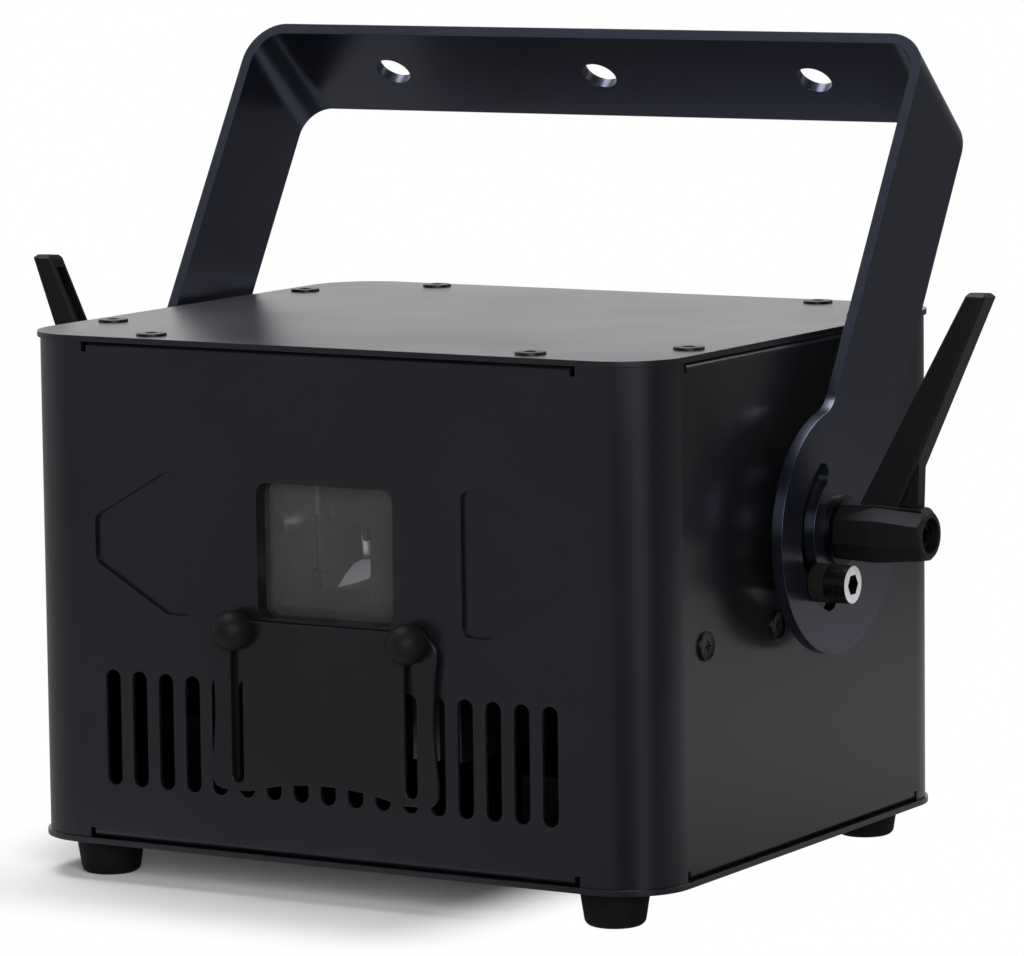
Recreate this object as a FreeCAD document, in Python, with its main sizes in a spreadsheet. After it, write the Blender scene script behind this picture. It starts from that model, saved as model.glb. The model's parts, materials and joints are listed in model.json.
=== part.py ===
import FreeCAD, Part
import Sketcher
import math
import os
import re

# A laser show projector: a sheet-metal case on rubber feet, hung in a tilting yoke with clamp levers.
# Millimetres, +Z up. The origin is on the floor under the middle of the case, and -Y is the front.

# Driving dimensions, piece by piece
SIZES = {
    # case
    "case_width": 250,
    "case_depth": 214,
    "wall_height": 172,
    "corner_radius": 22,
    "sheet": 1.5,
    "flange_depth": 18,
    "bend_radius": 2.6,
    "front_flange_inset": 29.5,
    "side_flange_inset": 25.5,
    "notch_width": 2,
    "notch_height": 3.5,
    "plate_thickness": 2,
    "plate_overhang": 1,
    # feet
    "foot_height": 13,
    "foot_top_radius": 12,
    "foot_bottom_radius": 10,
    "foot_edge": 2,
    "foot_side": 24,
    "foot_end": 17,
    "foot_bore_depth": 7,
    "foot_screw_radius": 2.5,
    "foot_head_radius": 4.5,
    "foot_head_height": 3,
    "foot_screw_grip": 6,
    # button-head screws of the lid and the base plate
    "button_radius": 3,
    "button_head_radius": 5.25,
    "button_head_height": 1.6,
    "button_length": 9,
    "button_socket": 2.3,
    "button_socket_depth": 1.1,
    "button_inset": 10,
    "front_button_side": 50,
    "rear_button_side": 45.5,
    "side_button_end": 45,
    # pan-head screws of the sides, the rear panel and the inner plates
    "pan_radius": 2.5,
    "pan_head_radius": 5,
    "pan_head_height": 2.6,
    "pan_length": 14,
    "cross_width": 1.3,
    "cross_span": 5.6,
    "cross_depth": 1.4,
    "side_screw_end": 36.5,
    "side_screw_spacing": 49.5,
    "small_radius": 1.5,
    "small_head_radius": 2.9,
    "small_head_height": 1.8,
    "small_length": 7,
    # front: window, arrow recesses and ventilation slots
    "window_width": 54,
    "window_height": 46,
    "window_corner": 4,
    "window_level": 119.3,
    "arrow_gap": 26.5,
    "arrow_step": 10.5,
    "arrow_side": 32,
    "arrow_tall": 49,
    "arrow_short": 15.5,
    "arrow_corner": 3,
    "vent_count": 17,
    "vent_side": 38.28,
    "vent_width": 6,
    "vent_length": 40.2,
    "vent_level": 54.2,
    "backing_margin": 23.5,
    "backing_height": 76,
    "backing_thickness": 4,
    "backing_corner": 4,
    "glass_lap": 4,
    "glass_thickness": 3,
    "retainer_lap": 9,
    "retainer_thickness": 5,
    "retainer_lip": 2,
    # mask plate and its knobs
    "mask_half_width": 45,
    "mask_bottom": 36.9,
    "mask_top": 95.2,
    "mask_thickness": 1.8,
    "mask_gap": 0.8,
    "mask_corner": 5,
    "mask_top_corner": 7.5,
    "mask_ear": 6.5,
    "mask_arch": 30,
    "mask_arch_rise": 4,
    "mask_waist": 20,
    "mask_waist_rise": 1.6,
    "mask_waist_level": 66,
    "mask_slot_width": 4.6,
    "mask_slot_bottom": 39.6,
    "knob_spread": 34.5,
    "knob_level": 91.9,
    "knob_radius": 7,
    "knob_stand": 5,
    "knob_stud_radius": 2,
    # yoke and pivots
    "pivot_forward": 1.5,
    "pivot_level": 122.8,
    "yoke_side_gap": 10.3,
    "yoke_thickness": 4,
    "yoke_arm_width": 43,
    "yoke_arm_lean": 31,
    "yoke_arm_shift": 4,
    "yoke_arm_length": 171.7,
    "yoke_bar_sweep": 11.6,
    "yoke_bend_radius": 15,
    "yoke_leg": 16,
    "yoke_disc_radius": 42,
    "yoke_neck_radius": 12,
    "yoke_hole_radius": 6.5,
    "yoke_hole_spread": 87,
    "slot_radius": 23.5,
    "slot_width": 8.6,
    "slot_start": 153,
    "slot_span": 130,
    "hub_radius": 18,
    "hub_spigot_radius": 8,
    "hub_screw_circle": 13,
    "hub_screw_length": 8,
    "friction_thickness": 0.8,
    "friction_radius": 17,
    "clamp_washer_radius": 12,
    "clamp_washer_thickness": 1.6,
    "stop_angle": 221,
    "stop_radius": 4,
    "stop_head_radius": 6.6,
    "stop_head_height": 8,
    "stop_socket": 3.5,
    "stop_socket_depth": 4,
    "stop_sleeve_length": 5.6,
    "stop_collar_radius": 5.2,
    "stop_collar_height": 4,
    "stop_nut_circumradius": 7.5,
    "stop_nut_height": 6.5,
    # clamp levers
    "lever_hub_length": 32.4,
    "lever_base_radius": 10.2,
    "lever_belly_radius": 10.75,
    "lever_end_radius": 9.6,
    "lever_hub_edge": 2,
    "lever_bore_radius": 6,
    "lever_bore_depth": 14.5,
    "lever_shoulder": 3,
    "lever_tip_height": 82,
    "lever_root_offset": 10.5,
    "lever_tip_offset": 48.9,
    "lever_root_thickness": 16,
    "lever_tip_thickness": 7.5,
    "lever_arm_width": 9.2,
    "lever_web_offset": 28.6,
    "lever_web_width": 5,
    "lever_lean": 4,
    "lever_belly_share": 0.45,
    "lever_arm_edge": 1.2,
    "lever_channel_width": 5,
    "lever_channel_depth": 3,
    "lever_channel_margin": 9,
    "lever_lift": 4,
    "stud_radius": 5,
    "stud_reach": 11,
    "insert_radius": 7.5,
    "insert_height": 13,
    "lever_screw_radius": 3,
    "lever_screw_reach": 8,
    "lever_screw_head_radius": 5,
    "lever_screw_head_height": 5,
    "lever_screw_socket": 2.9,
    "spring_radius": 4.2,
    "spring_wire": 0.7,
    "spring_turns": 3,
    # optics above the bench
    "bench_end": 37,
    "bench_thickness": 10,
    "bench_level": 91.8,
    "scanner_width": 30,
    "scanner_depth": 21,
    "scanner_height": 45,
    "scanner_offset": 4,
    "scanner_arm_reach": 16,
    "scanner_arm_height": 16,
    "scanner_inset": 33,
    "motor_radius": 6,
    "motor_tail": 8,
    "motor_collar_radius": 7.5,
    "motor_collar": 2,
    "motor_shaft_depth": 12,
    "mirror_axis_offset": 4,
    "mirror_axis_rise": 10.7,
    "mirror_shaft_radius": 1.5,
    "mirror_thickness": 1,
    "x_mirror_width": 7,
    "x_mirror_height": 7,
    "y_mirror_width": 9,
    "y_mirror_length": 15,
    "mirror_gap": 4,
    "y_mirror_gap": 7,
    "mirror_corner": 1.8,
    "laser_width": 32,
    "laser_height": 32,
    "laser_edge": 2,
    "laser_pitch": 46,
    "laser_side": 41,
    "laser_inset": 103,
    "laser_end": 10,
    "laser_nozzle_radius": 5,
    "laser_nozzle_length": 6,
    "combiner_gap": 28,
    "combiner_size": 16,
    "combiner_base": 6,
    "combiner_height": 26,
    "combiner_glass": 2,
    # electronics below the bench
    "supply_side": 21,
    "supply_height": 40,
    "supply_offset": 46,
    "supply_front_gap": 29,
    "supply_rear_gap": 45,
    "supply_cover": 1.2,
    "supply_terminals": 14,
    "sink_width": 70,
    "sink_base": 6,
    "sink_fin_depth": 34,
    "sink_fin": 2,
    "sink_fin_count": 9,
    "sink_front_gap": 29,
    "sink_fan_gap": 16.5,
    "board_side": 23,
    "board_thickness": 1.6,
    "board_offset": 46,
    "board_gap": 10,
    "board_front_gap": 29,
    "board_rear_gap": 39,
    "standoff_radius": 3,
    "standoff_height": 10,
    "standoff_inset": 5,
    # rear panel and what it carries
    "rear_opening_side": 33,
    "rear_opening_end": 13,
    "rear_opening_corner": 6,
    "rear_panel_side": 23,
    "rear_panel_end": 3,
    "rear_panel_thickness": 2,
    "rear_screw_lap": 5.5,
    "fan_size": 60,
    "fan_inlet_gap": 15,
    "fan_depth": 25,
    "fan_bore_radius": 28.5,
    "fan_level": 52,
    "fan_hub_radius": 13,
    "fan_blade_gap": 1,
    "fan_blade_thickness": 1.6,
    "fan_blade_chord": 16,
    "fan_blade_pitch": 35,
    "fan_blade_count": 7,
    "fan_axle_radius": 2,
    "fan_spoke": 4,
    "fan_spoke_depth": 3,
    "fan_corner": 4,
    "grille_slot": 5,
    "grille_bar": 2,
    "grille_count": 3,
    "inlet_inset": 30,
    "inlet_level": 60,
    "inlet_width": 34,
    "inlet_height": 62,
    "inlet_flange": 3,
    "inlet_depth": 28,
    "inlet_rim": 3.5,
    "inlet_wall": 2,
    "socket_width": 25,
    "socket_height": 17,
    "socket_depth": 16,
    "pin_width": 2,
    "pin_height": 4,
    "pin_recess": 5,
    "pin_spread": 7,
    "pin_stagger": 3,
    "rocker_width": 13,
    "rocker_height": 18,
    "rocker_rise": 2,
    "rocker_swing": 1.5,
    "rocker_axle_radius": 1.6,
    "rocker_depth": 7,
    "key_inset": 26,
    "key_drop": 39,
    "key_flange_radius": 12,
    "key_flange": 3,
    "key_body_radius": 9,
    "key_body_depth": 24,
    "key_plug_radius": 5,
    "key_plug_depth": 14,
    "key_bow_radius": 7,
    "key_bow_thickness": 2,
    "key_neck_width": 6,
    "key_reach": 10.5,
    "key_ring_radius": 2,
    "control_drop": 39,
    "control_spacing": 26,
    "control_flange_width": 53,
    "control_flange_height": 13,
    "control_flange": 1.2,
    "control_shell_width": 38,
    "control_shell_height": 8.5,
    "control_shell_length": 6,
    "control_slope": 2,
    "control_body_depth": 10,
    "lock_inset": 26,
    "lock_drop": 83,
    "lock_flange_width": 26,
    "lock_flange_height": 31,
    "lock_flange": 2,
    "lock_body_radius": 11.5,
    "lock_body_depth": 20,
    "lock_bore_radius": 9.2,
    "lock_bore_depth": 14,
    "lock_pin_radius": 1.2,
    "lock_pin_circle": 5.2,
    "lamp_inset": 26,
    "lamp_drop": 39,
    "lamp_radius": 4,
    "lamp_flange_radius": 6,
    "lamp_flange": 1.5,
    "lamp_depth": 10,
    # fits
    "hole_clearance": 0.15,
    "running_clearance": 0.06,
    "sliding_gap": 0.3,
    "overrun": 1,
}

QUARTER_ANGLE = 90
THIRD_ANGLE = 120
STRAIGHT_SHARE = 0.999
HUB_SCREW_ANGLES = (90, 210, 330)
LOCK_PIN_ANGLES = (30, 150, 270)
SPRING_POINT_COUNT = 24
DOME_SHARES = ((1, 0.25), (0.86, 0.62), (0.62, 0.9), (0.4, 1))
X_AXIS = FreeCAD.Vector(1, 0, 0)
Y_AXIS = FreeCAD.Vector(0, 1, 0)
Z_AXIS = FreeCAD.Vector(0, 0, 1)
ORIGIN = FreeCAD.Vector(0, 0, 0)
UPRIGHT = FreeCAD.Rotation()
ALONG = {
    "x": FreeCAD.Rotation(Y_AXIS, QUARTER_ANGLE),
    "y": FreeCAD.Rotation(X_AXIS, -QUARTER_ANGLE),
    "z": UPRIGHT,
}
CYCLE = FreeCAD.Rotation(FreeCAD.Vector(1, 1, 1), THIRD_ANGLE)

doc = FreeCAD.newDocument("laser_show_projector")
sheet = doc.addObject("Spreadsheet::Sheet", "Sizes")
for row, (alias, number) in enumerate(SIZES.items(), start=1):
    sheet.set(f"A{row}", alias)
    sheet.set(f"B{row}", str(number))
    sheet.setAlias(f"B{row}", alias)
doc.recompute()
pieces = []


# Helpers: formulas in plain aliases, bound to the sheet
def formula(text):
    """Point every alias in a formula at its cell."""
    known = lambda word: "Sizes." + word.group() if word.group() in SIZES else word.group()
    return re.sub(r"[a-z_][a-z0-9_]*", known, str(text))


def measure(text):
    """The number that a formula gives."""
    return float(sheet.evalExpression(formula(text)))


def bind(feature, **formulas):
    """Bind properties of a feature to formulas."""
    for name, text in formulas.items():
        feature.setExpression(name, formula(text))
    return feature


def place(feature, x="0", y="0", z="0", turn=UPRIGHT):
    """Turn a feature about the origin and bind its place."""
    feature.Placement = FreeCAD.Placement(ORIGIN, turn)
    for axis, text in (("x", x), ("y", y), ("z", z)):
        feature.setExpression("Placement.Base." + axis, formula(text))
    return feature


def lean(feature, axis, angle):
    """Turn a feature by a bound angle about an axis through its own place."""
    feature.Placement = FreeCAD.Placement(feature.Placement.Base, FreeCAD.Rotation(axis, measure(angle)))
    feature.setExpression("Placement.Rotation.Angle", formula(angle))
    return feature


def block(name, x, y, z):
    """A box between a low and a high formula on each axis."""
    solid = doc.addObject("Part::Box", name)
    bind(solid, Length=f"({x[1]}) - ({x[0]})", Width=f"({y[1]}) - ({y[0]})", Height=f"({z[1]}) - ({z[0]})")
    return place(solid, x[0], y[0], z[0])


def rod(name, axis, radius, low, high, x="0", y="0", z="0"):
    """A cylinder along an axis, from low to high on it."""
    solid = doc.addObject("Part::Cylinder", name)
    bind(solid, Radius=radius, Height=f"({high}) - ({low})")
    start = {"x": x, "y": y, "z": z}
    start[axis] = low
    return place(solid, start["x"], start["y"], start["z"], ALONG[axis])


def hexagon(name, axis, circumradius, low, high, x="0", y="0", z="0"):
    """A six-sided prism along an axis."""
    solid = doc.addObject("Part::Prism", name)
    solid.Polygon = 6
    bind(solid, Circumradius=circumradius, Height=f"({high}) - ({low})")
    start = {"x": x, "y": y, "z": z}
    start[axis] = low
    return place(solid, start["x"], start["y"], start["z"], ALONG[axis])


def join(name, parts):
    """One solid from several that touch or overlap."""
    whole = doc.addObject("Part::MultiFuse", name)
    whole.Shapes = parts
    whole.Refine = True
    return whole


def cut(name, base, tools):
    """A base less one or more tools."""
    rest = doc.addObject("Part::Cut", name)
    rest.Base = base
    rest.Tool = tools[0] if len(tools) == 1 else join(name + "_tools", tools)
    rest.Refine = True
    return rest


def soften(name, base, radius, test):
    """Round the edges of a solid that pass a test."""
    doc.recompute()
    size = measure(radius)
    chosen = [(number, size, size) for number, edge in enumerate(base.Shape.Edges, start=1) if test(edge)]
    if not chosen:
        raise RuntimeError(f"{name} finds no edge to round")
    rounded = doc.addObject("Part::Fillet", name)
    rounded.Base = base
    rounded.Edges = chosen
    return rounded


def runs(axis):
    """A test for straight edges along an axis."""
    direction = {"x": X_AXIS, "y": Y_AXIS, "z": Z_AXIS}[axis]

    def test(edge):
        if not isinstance(edge.Curve, Part.Line):
            return False
        return abs(edge.tangentAt(edge.FirstParameter).dot(direction)) > STRAIGHT_SHARE
    return test


def middle(edge):
    """The middle of an edge's box."""
    return edge.BoundBox.Center


def copies(name, master, spots):
    """A group of equal solids, the master moved to each spot and turned there."""
    moved = []
    for spot, turn in spots:
        copy = doc.addObject("Part::Compound", name + "_copy")
        copy.Links = [master]
        moved.append(place(copy, *spot, turn=turn))
    return together(name, moved)


def together(name, parts):
    """Several solids kept apart in one group."""
    group = doc.addObject("Part::Compound", name)
    group.Links = parts
    return group


def mirrored(name, source):
    """A solid's twin on the left side of the case."""
    twin = doc.addObject("Part::Mirroring", name)
    twin.Source = source
    twin.Normal = X_AXIS
    return twin


def new_sketch(body, role, lift="0"):
    """A sketch on one of a body's own planes."""
    sketch = body.newObject("Sketcher::SketchObject", body.Name + "_sketch")
    plane = [feature for feature in body.Origin.OriginFeatures if feature.Role == role][0]
    sketch.AttachmentSupport = [(plane, "")]
    sketch.MapMode = "FlatFace"
    sketch.setExpression("AttachmentOffset.Base.z", formula(lift))
    return sketch


def pin(sketch, geometry, point, across, up):
    """Bind one point of a sketch to two formulas."""
    for kind, text in (("DistanceX", across), ("DistanceY", up)):
        rule = Sketcher.Constraint(kind, -1, 1, geometry, point, measure(text))
        number = sketch.addConstraint(rule)
        sketch.setExpression(f"Constraints[{number}]", formula(text))


def loop(sketch, points):
    """A closed outline of straight lines with bound corners."""
    spots = [FreeCAD.Vector(measure(across), measure(up), 0) for across, up in points]
    first = sketch.GeometryCount
    count = len(points)
    for number in range(count):
        sketch.addGeometry(Part.LineSegment(spots[number], spots[(number + 1) % count]))
    for number in range(count):
        after = first + (number + 1) % count
        sketch.addConstraint(Sketcher.Constraint("Coincident", first + number, 2, after, 1))
    for number, (across, up) in enumerate(points):
        pin(sketch, first + number, 1, across, up)


def ring(sketch, radius, across="0", up="0"):
    """A circle with a bound centre and radius."""
    centre = FreeCAD.Vector(measure(across), measure(up), 0)
    number = sketch.addGeometry(Part.Circle(centre, Z_AXIS, measure(radius)))
    pin(sketch, number, 3, across, up)
    rule = sketch.addConstraint(Sketcher.Constraint("Radius", number, measure(radius)))
    sketch.setExpression(f"Constraints[{rule}]", formula(radius))


def rectangle(width, height, across="0", up="0"):
    """The corners of a rectangle about a middle."""
    low, high = f"({across}) - ({width}) / 2", f"({across}) + ({width}) / 2"
    foot, head = f"({up}) - ({height}) / 2", f"({up}) + ({height}) / 2"
    return [(low, foot), (high, foot), (high, head), (low, head)]


def padded(name, role, lift, thickness, outlines, rings=()):
    """A body padded from one sketch of outlines and round holes."""
    body = doc.addObject("PartDesign::Body", name)
    sketch = new_sketch(body, role, lift)
    for points in outlines:
        loop(sketch, points)
    for radius, across, up in rings:
        ring(sketch, radius, across, up)
    pad = body.newObject("PartDesign::Pad", name + "_pad")
    pad.Profile = sketch
    bind(pad, Length=thickness)
    return body


def turned(name, profile):
    """A body turned about Z from a profile of (radius, height) corners."""
    body = doc.addObject("PartDesign::Body", name)
    sketch = new_sketch(body, "XZ_Plane")
    loop(sketch, profile)
    turn = body.newObject("PartDesign::Revolution", name + "_turn")
    turn.Profile = sketch
    turn.ReferenceAxis = (sketch, ["V_Axis"])
    turn.Angle = 4 * QUARTER_ANGLE
    return body


def publish(feature, label):
    """Name a finished sub-part."""
    feature.Label = label
    pieces.append(feature)
    return feature


# Levels and faces that several pieces share
base_top = "(foot_height + plate_thickness)"
wall_top = f"({base_top} + wall_height)"
side_face = "(case_width / 2)"
front_face = "(case_depth / 2)"
inner_side = f"({side_face} - sheet)"
inner_front = f"({front_face} - sheet)"
front_flange = f"({side_face} - front_flange_inset)"
side_flange = f"({front_face} - side_flange_inset)"
button_hole = "button_radius + hole_clearance"
pan_hole = "pan_radius + hole_clearance"
small_hole = "small_radius + hole_clearance"
bench_top = "(bench_level + bench_thickness / 2)"
bench_front = f"({front_face} - corner_radius - sliding_gap)"
bench_bottom = "(bench_level - bench_thickness / 2)"
rear_level = f"({base_top} + wall_height / 2)"
rear_opening_half = "(case_width / 2 - rear_opening_side)"
rear_opening_tall = "(wall_height / 2 - rear_opening_end)"
panel_outer = f"({inner_front})"
panel_inner = f"({inner_front} - rear_panel_thickness)"
bench_rear = f"({front_face} - bench_end)"
foot_x = f"({side_face} - foot_side)"
foot_y = f"({front_face} - foot_end)"
arrow_inner = "(window_width / 2 + arrow_gap)"
arrow_shoulder = f"({arrow_inner} + arrow_step)"
arrow_outer = f"({side_face} - arrow_side)"
vent_pitch = "((case_width - 2 * vent_side) / (vent_count - 1))"
inlet_x = f"({rear_opening_half} - inlet_inset)"
key_x = f"({rear_opening_half} - key_inset)"
lock_x = f"({rear_opening_half} - lock_inset)"
lamp_x = f"({rear_opening_half} - lamp_inset)"
key_level = f"({wall_top} - key_drop)"
lock_level = f"({wall_top} - lock_drop)"
lamp_level = f"({wall_top} - lamp_drop)"
fan_front = f"({panel_inner} - fan_depth)"
fan_x = f"(inlet_width / 2 + fan_inlet_gap + fan_size / 2 - {inlet_x})"


# Places of the button screws, the same in the lid and the base plate
def button_spots(level, turn):
    along_front = f"({front_face} - button_inset)"
    along_side = f"({side_face} - button_inset)"
    front_x = f"({side_face} - front_button_side)"
    rear_x = f"({side_face} - rear_button_side)"
    side_y = f"({front_face} - side_button_end)"
    spots = []
    for right in ("-", ""):
        spots.append(((f"{right}{front_x}", f"-{along_front}", level), turn))
        spots.append(((f"{right}{rear_x}", along_front, level), turn))
        for back in ("-", ""):
            spots.append(((f"{right}{along_side}", f"{back}{side_y}", level), turn))
    return spots


BUTTON_PLACES = [(spot[0], spot[1]) for spot, turn in button_spots("0", UPRIGHT)]
FOOT_PLACES = {
    "front_left": (f"-{foot_x}", f"-{foot_y}"),
    "front_right": (foot_x, f"-{foot_y}"),
    "rear_left": (f"-{foot_x}", foot_y),
    "rear_right": (foot_x, foot_y),
}
ACROSS = FreeCAD.Rotation(X_AXIS, 2 * QUARTER_ANGLE)


# Screws
def domed(name, radius, head_radius, head_height, length):
    """A screw with a low domed head above z = 0 and its shank below."""
    profile = [("0", f"-({length})"), (radius, f"-({length})"), (radius, "0"), (head_radius, "0")]
    profile += [(f"{head_radius} * {out}", f"{head_height} * {up}") for out, up in DOME_SHARES]
    return turned(name, profile + [("0", head_height)])


def cross_screw():
    """The screw with a cross recess."""
    blank = domed("pan_blank", "pan_radius", "pan_head_radius", "pan_head_height", "pan_length")
    depth = ("pan_head_height - cross_depth", "pan_head_height + overrun")
    span = ("-cross_span / 2", "cross_span / 2")
    width = ("-cross_width / 2", "cross_width / 2")
    bars = [block("cross_bar", span, width, depth), block("cross_bar", width, span, depth)]
    return cut("pan_master", blank, bars)


def button_screw():
    """The screw with a hexagon socket."""
    blank = domed("button_blank", "button_radius", "button_head_radius", "button_head_height", "button_length")
    floor = "button_head_height - button_socket_depth"
    socket = hexagon("button_socket_tool", "z", "button_socket", floor, "button_head_height + overrun")
    return cut("button_master", blank, [socket])


button = button_screw()
pan = cross_screw()
small = domed("small_master", "small_radius", "small_head_radius", "small_head_height", "small_length")


# Case wrap: a rounded tube of sheet with flanges bent in at top and bottom
def wrap_blank():
    outer = padded("wrap_outer", "XY_Plane", base_top, "wall_height", [rectangle("case_width", "case_depth")])
    outer = soften("wrap_outer_round", outer, "corner_radius", runs("z"))
    hollow = rectangle("case_width - 2 * sheet", "case_depth - 2 * sheet")
    inner = padded("wrap_inner", "XY_Plane", f"{base_top} - overrun", "wall_height + 2 * overrun", [hollow])
    inner = soften("wrap_inner_round", inner, "corner_radius - sheet", runs("z"))
    return cut("wrap_tube", outer, [inner])


def wrap_flanges():
    """Eight flanges, behind the wall at top and bottom of each side."""
    strips = []
    for level in ((base_top, f"{base_top} + sheet"), (f"{wall_top} - sheet", wall_top)):
        for sign in ("-", ""):
            near = f"{sign}{inner_front}"
            far = f"{sign}({inner_front} - flange_depth)"
            depth = (near, far) if sign else (far, near)
            strips.append(block("front_flange_strip", (f"-{front_flange}", front_flange), depth, level))
            near = f"{sign}{inner_side}"
            far = f"{sign}({inner_side} - flange_depth)"
            width = (near, far) if sign else (far, near)
            strips.append(block("side_flange_strip", width, (f"-{side_flange}", side_flange), level))
    return strips


def wrap_notches():
    """Relief notches at both ends of each flange."""
    tools = []
    levels = ((f"{base_top} - overrun", f"{base_top} + notch_height"),
              (f"{wall_top} - notch_height", f"{wall_top} + overrun"))
    for level in levels:
        for sign in ("-", ""):
            start = front_flange if not sign else f"-{front_flange} - notch_width"
            end = f"{front_flange} + notch_width" if not sign else f"-{front_flange}"
            for wall in ((f"-{front_face} - overrun", f"-{inner_front}"),
                         (inner_front, f"{front_face} + overrun")):
                tools.append(block("front_notch", (start, end), wall, level))
            start = side_flange if not sign else f"-{side_flange} - notch_width"
            end = f"{side_flange} + notch_width" if not sign else f"-{side_flange}"
            for wall in ((f"-{side_face} - overrun", f"-{inner_side}"), (inner_side, f"{side_face} + overrun")):
                tools.append(block("side_notch", wall, (start, end), level))
    return tools


front_depth = (f"-{front_face} - overrun", f"-{inner_front} + overrun")


def window_tool(name, margin, depth):
    """A rounded window block, larger than the window by a margin all round."""
    half = f"(window_width / 2 + {margin})"
    tall = f"(window_height / 2 + {margin})"
    tool = block(name, (f"-{half}", half), depth, (f"window_level - {tall}", f"window_level + {tall}"))
    return soften(name + "_round", tool, "window_corner", runs("y"))


def arrow_tool(sign):
    """The arrow-shaped recess on one side of the window."""
    across = [arrow_inner, arrow_shoulder, arrow_outer, arrow_outer, arrow_shoulder, arrow_inner]
    half_heights = ["arrow_tall", "arrow_tall", "arrow_short", "-arrow_short", "-arrow_tall", "-arrow_tall"]
    points = [(f"{sign}{a}", f"window_level + {b} / 2") for a, b in zip(across, half_heights)]
    body = padded("arrow_tool", "XZ_Plane", inner_front + " - overrun", "sheet + 2 * overrun", [points])
    return soften("arrow_tool_round", body, "arrow_corner", runs("y"))


def vent_tools():
    """The row of ventilation slots with round ends."""
    half = "vent_width / 2"
    straight = "(vent_length / 2 - vent_width / 2)"
    low, high = f"vent_level - {straight}", f"vent_level + {straight}"
    bar = block("vent_bar", (f"-{half}", half), front_depth, (low, high))
    ends = [rod("vent_end", "y", half, front_depth[0], front_depth[1], z=level) for level in (low, high)]
    master = join("vent_master", [bar] + ends)
    count = int(measure("vent_count"))
    spots = [((f"{vent_pitch} * ({number} - (vent_count - 1) / 2)", "0", "0"), UPRIGHT)
             for number in range(count)]
    return copies("vent_tools", master, spots)


def hub_screw_places():
    """Three places round each pivot, in the case's side plane."""
    places = []
    for angle in HUB_SCREW_ANGLES:
        places.append((f"-pivot_forward + hub_screw_circle * cos({angle})",
                       f"pivot_level + hub_screw_circle * sin({angle})"))
    return places


stop_y = "(-pivot_forward + slot_radius * cos(stop_angle))"
stop_z = "(pivot_level + slot_radius * sin(stop_angle))"
first_screw = f"(side_screw_end - {front_face})"
SIDE_SCREWS = [first_screw, f"({first_screw} + side_screw_spacing)"]


def side_tools(name, low, high):
    """Holes that go through a side wall, for the hub screws, stop bolt and bench screws."""
    tools = [rod(name, "x", small_hole, low, high, y=y, z=z) for y, z in hub_screw_places()]
    tools.append(rod(name, "x", "stop_radius + hole_clearance", low, high, y=stop_y, z=stop_z))
    tools += [rod(name, "x", pan_hole, low, high, y=y, z="bench_level") for y in SIDE_SCREWS]
    return tools


def rear_screw_places():
    """Six places round the rear opening."""
    across = f"({rear_opening_half} + rear_screw_lap)"
    up = f"({rear_opening_tall} - rear_screw_lap)"
    return [(f"{sign}{across}", f"{rear_level} + {share} * {up}")
            for sign in ("-", "") for share in ("-1", "0", "1")]


def case_wrap():
    whole = join("wrap_flanged", [wrap_blank()] + wrap_flanges())
    tools = wrap_notches()
    tools += [window_tool("window_tool", "0", front_depth), arrow_tool("-"), arrow_tool(""), vent_tools()]
    for sign in ("-", ""):
        tools.append(rod("knob_hole", "y", "knob_stud_radius + sliding_gap", *front_depth,
                         x=f"{sign}knob_spread", z="knob_level"))
    tools += side_tools("right_wall_hole", f"{inner_side} - overrun", f"{side_face} + overrun")
    tools += side_tools("left_wall_hole", f"-{side_face} - overrun", f"-{inner_side} + overrun")
    half, tall = rear_opening_half, rear_opening_tall
    rear_depth = (f"{inner_front} - overrun", f"{front_face} + overrun")
    opening = block("rear_opening", (f"-{half}", half), rear_depth,
                    (f"{rear_level} - {tall}", f"{rear_level} + {tall}"))
    tools.append(soften("rear_opening_round", opening, "rear_opening_corner", runs("y")))
    tools += [rod("rear_hole", "y", small_hole, *rear_depth, x=x, z=z) for x, z in rear_screw_places()]
    levels = ((f"{base_top} - overrun", f"{base_top} + sheet + overrun"),
              (f"{wall_top} - sheet - overrun", f"{wall_top} + overrun"))
    for low, high in levels:
        tools += [rod("flange_hole", "z", button_hole, low, high, x=x, y=y) for x, y in BUTTON_PLACES]
    drilled = cut("wrap_drilled", whole, tools)
    doc.recompute()
    levels = (measure(base_top), measure(wall_top))
    near = measure("sheet") / 2

    def outer_bend(edge):
        centre = middle(edge)
        if min(abs(centre.z - level) for level in levels) > near:
            return False
        along_front = runs("x")(edge) and abs(abs(centre.y) - measure(front_face)) < near
        along_side = runs("y")(edge) and abs(abs(centre.x) - measure(side_face)) < near
        return (along_front and edge.Length > measure("case_width") / 2) or \
            (along_side and edge.Length > measure("case_depth") / 2)
    return soften("wrap_bent", drilled, "bend_radius", outer_bend)


publish(case_wrap(), "case_wrap")


# Lid and base plate
def cover_plate(name, level, rings):
    body = padded(name + "_blank", "XY_Plane", level, "plate_thickness",
                  [rectangle("case_width + 2 * plate_overhang", "case_depth + 2 * plate_overhang")], rings)
    return soften(name, body, "corner_radius + plate_overhang", runs("z"))


button_rings = [(button_hole, x, y) for x, y in BUTTON_PLACES]
foot_rings = [("foot_screw_radius + hole_clearance", x, y) for x, y in FOOT_PLACES.values()]
publish(cover_plate("lid", wall_top, button_rings), "top_lid")
publish(cover_plate("base", "foot_height", button_rings + foot_rings), "base_plate")
publish(copies("lid_screw_group", button, button_spots(f"{wall_top} + plate_thickness", UPRIGHT)), "lid_screws")
publish(copies("base_screw_group", button, button_spots("foot_height", ACROSS)), "base_screws")


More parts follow.
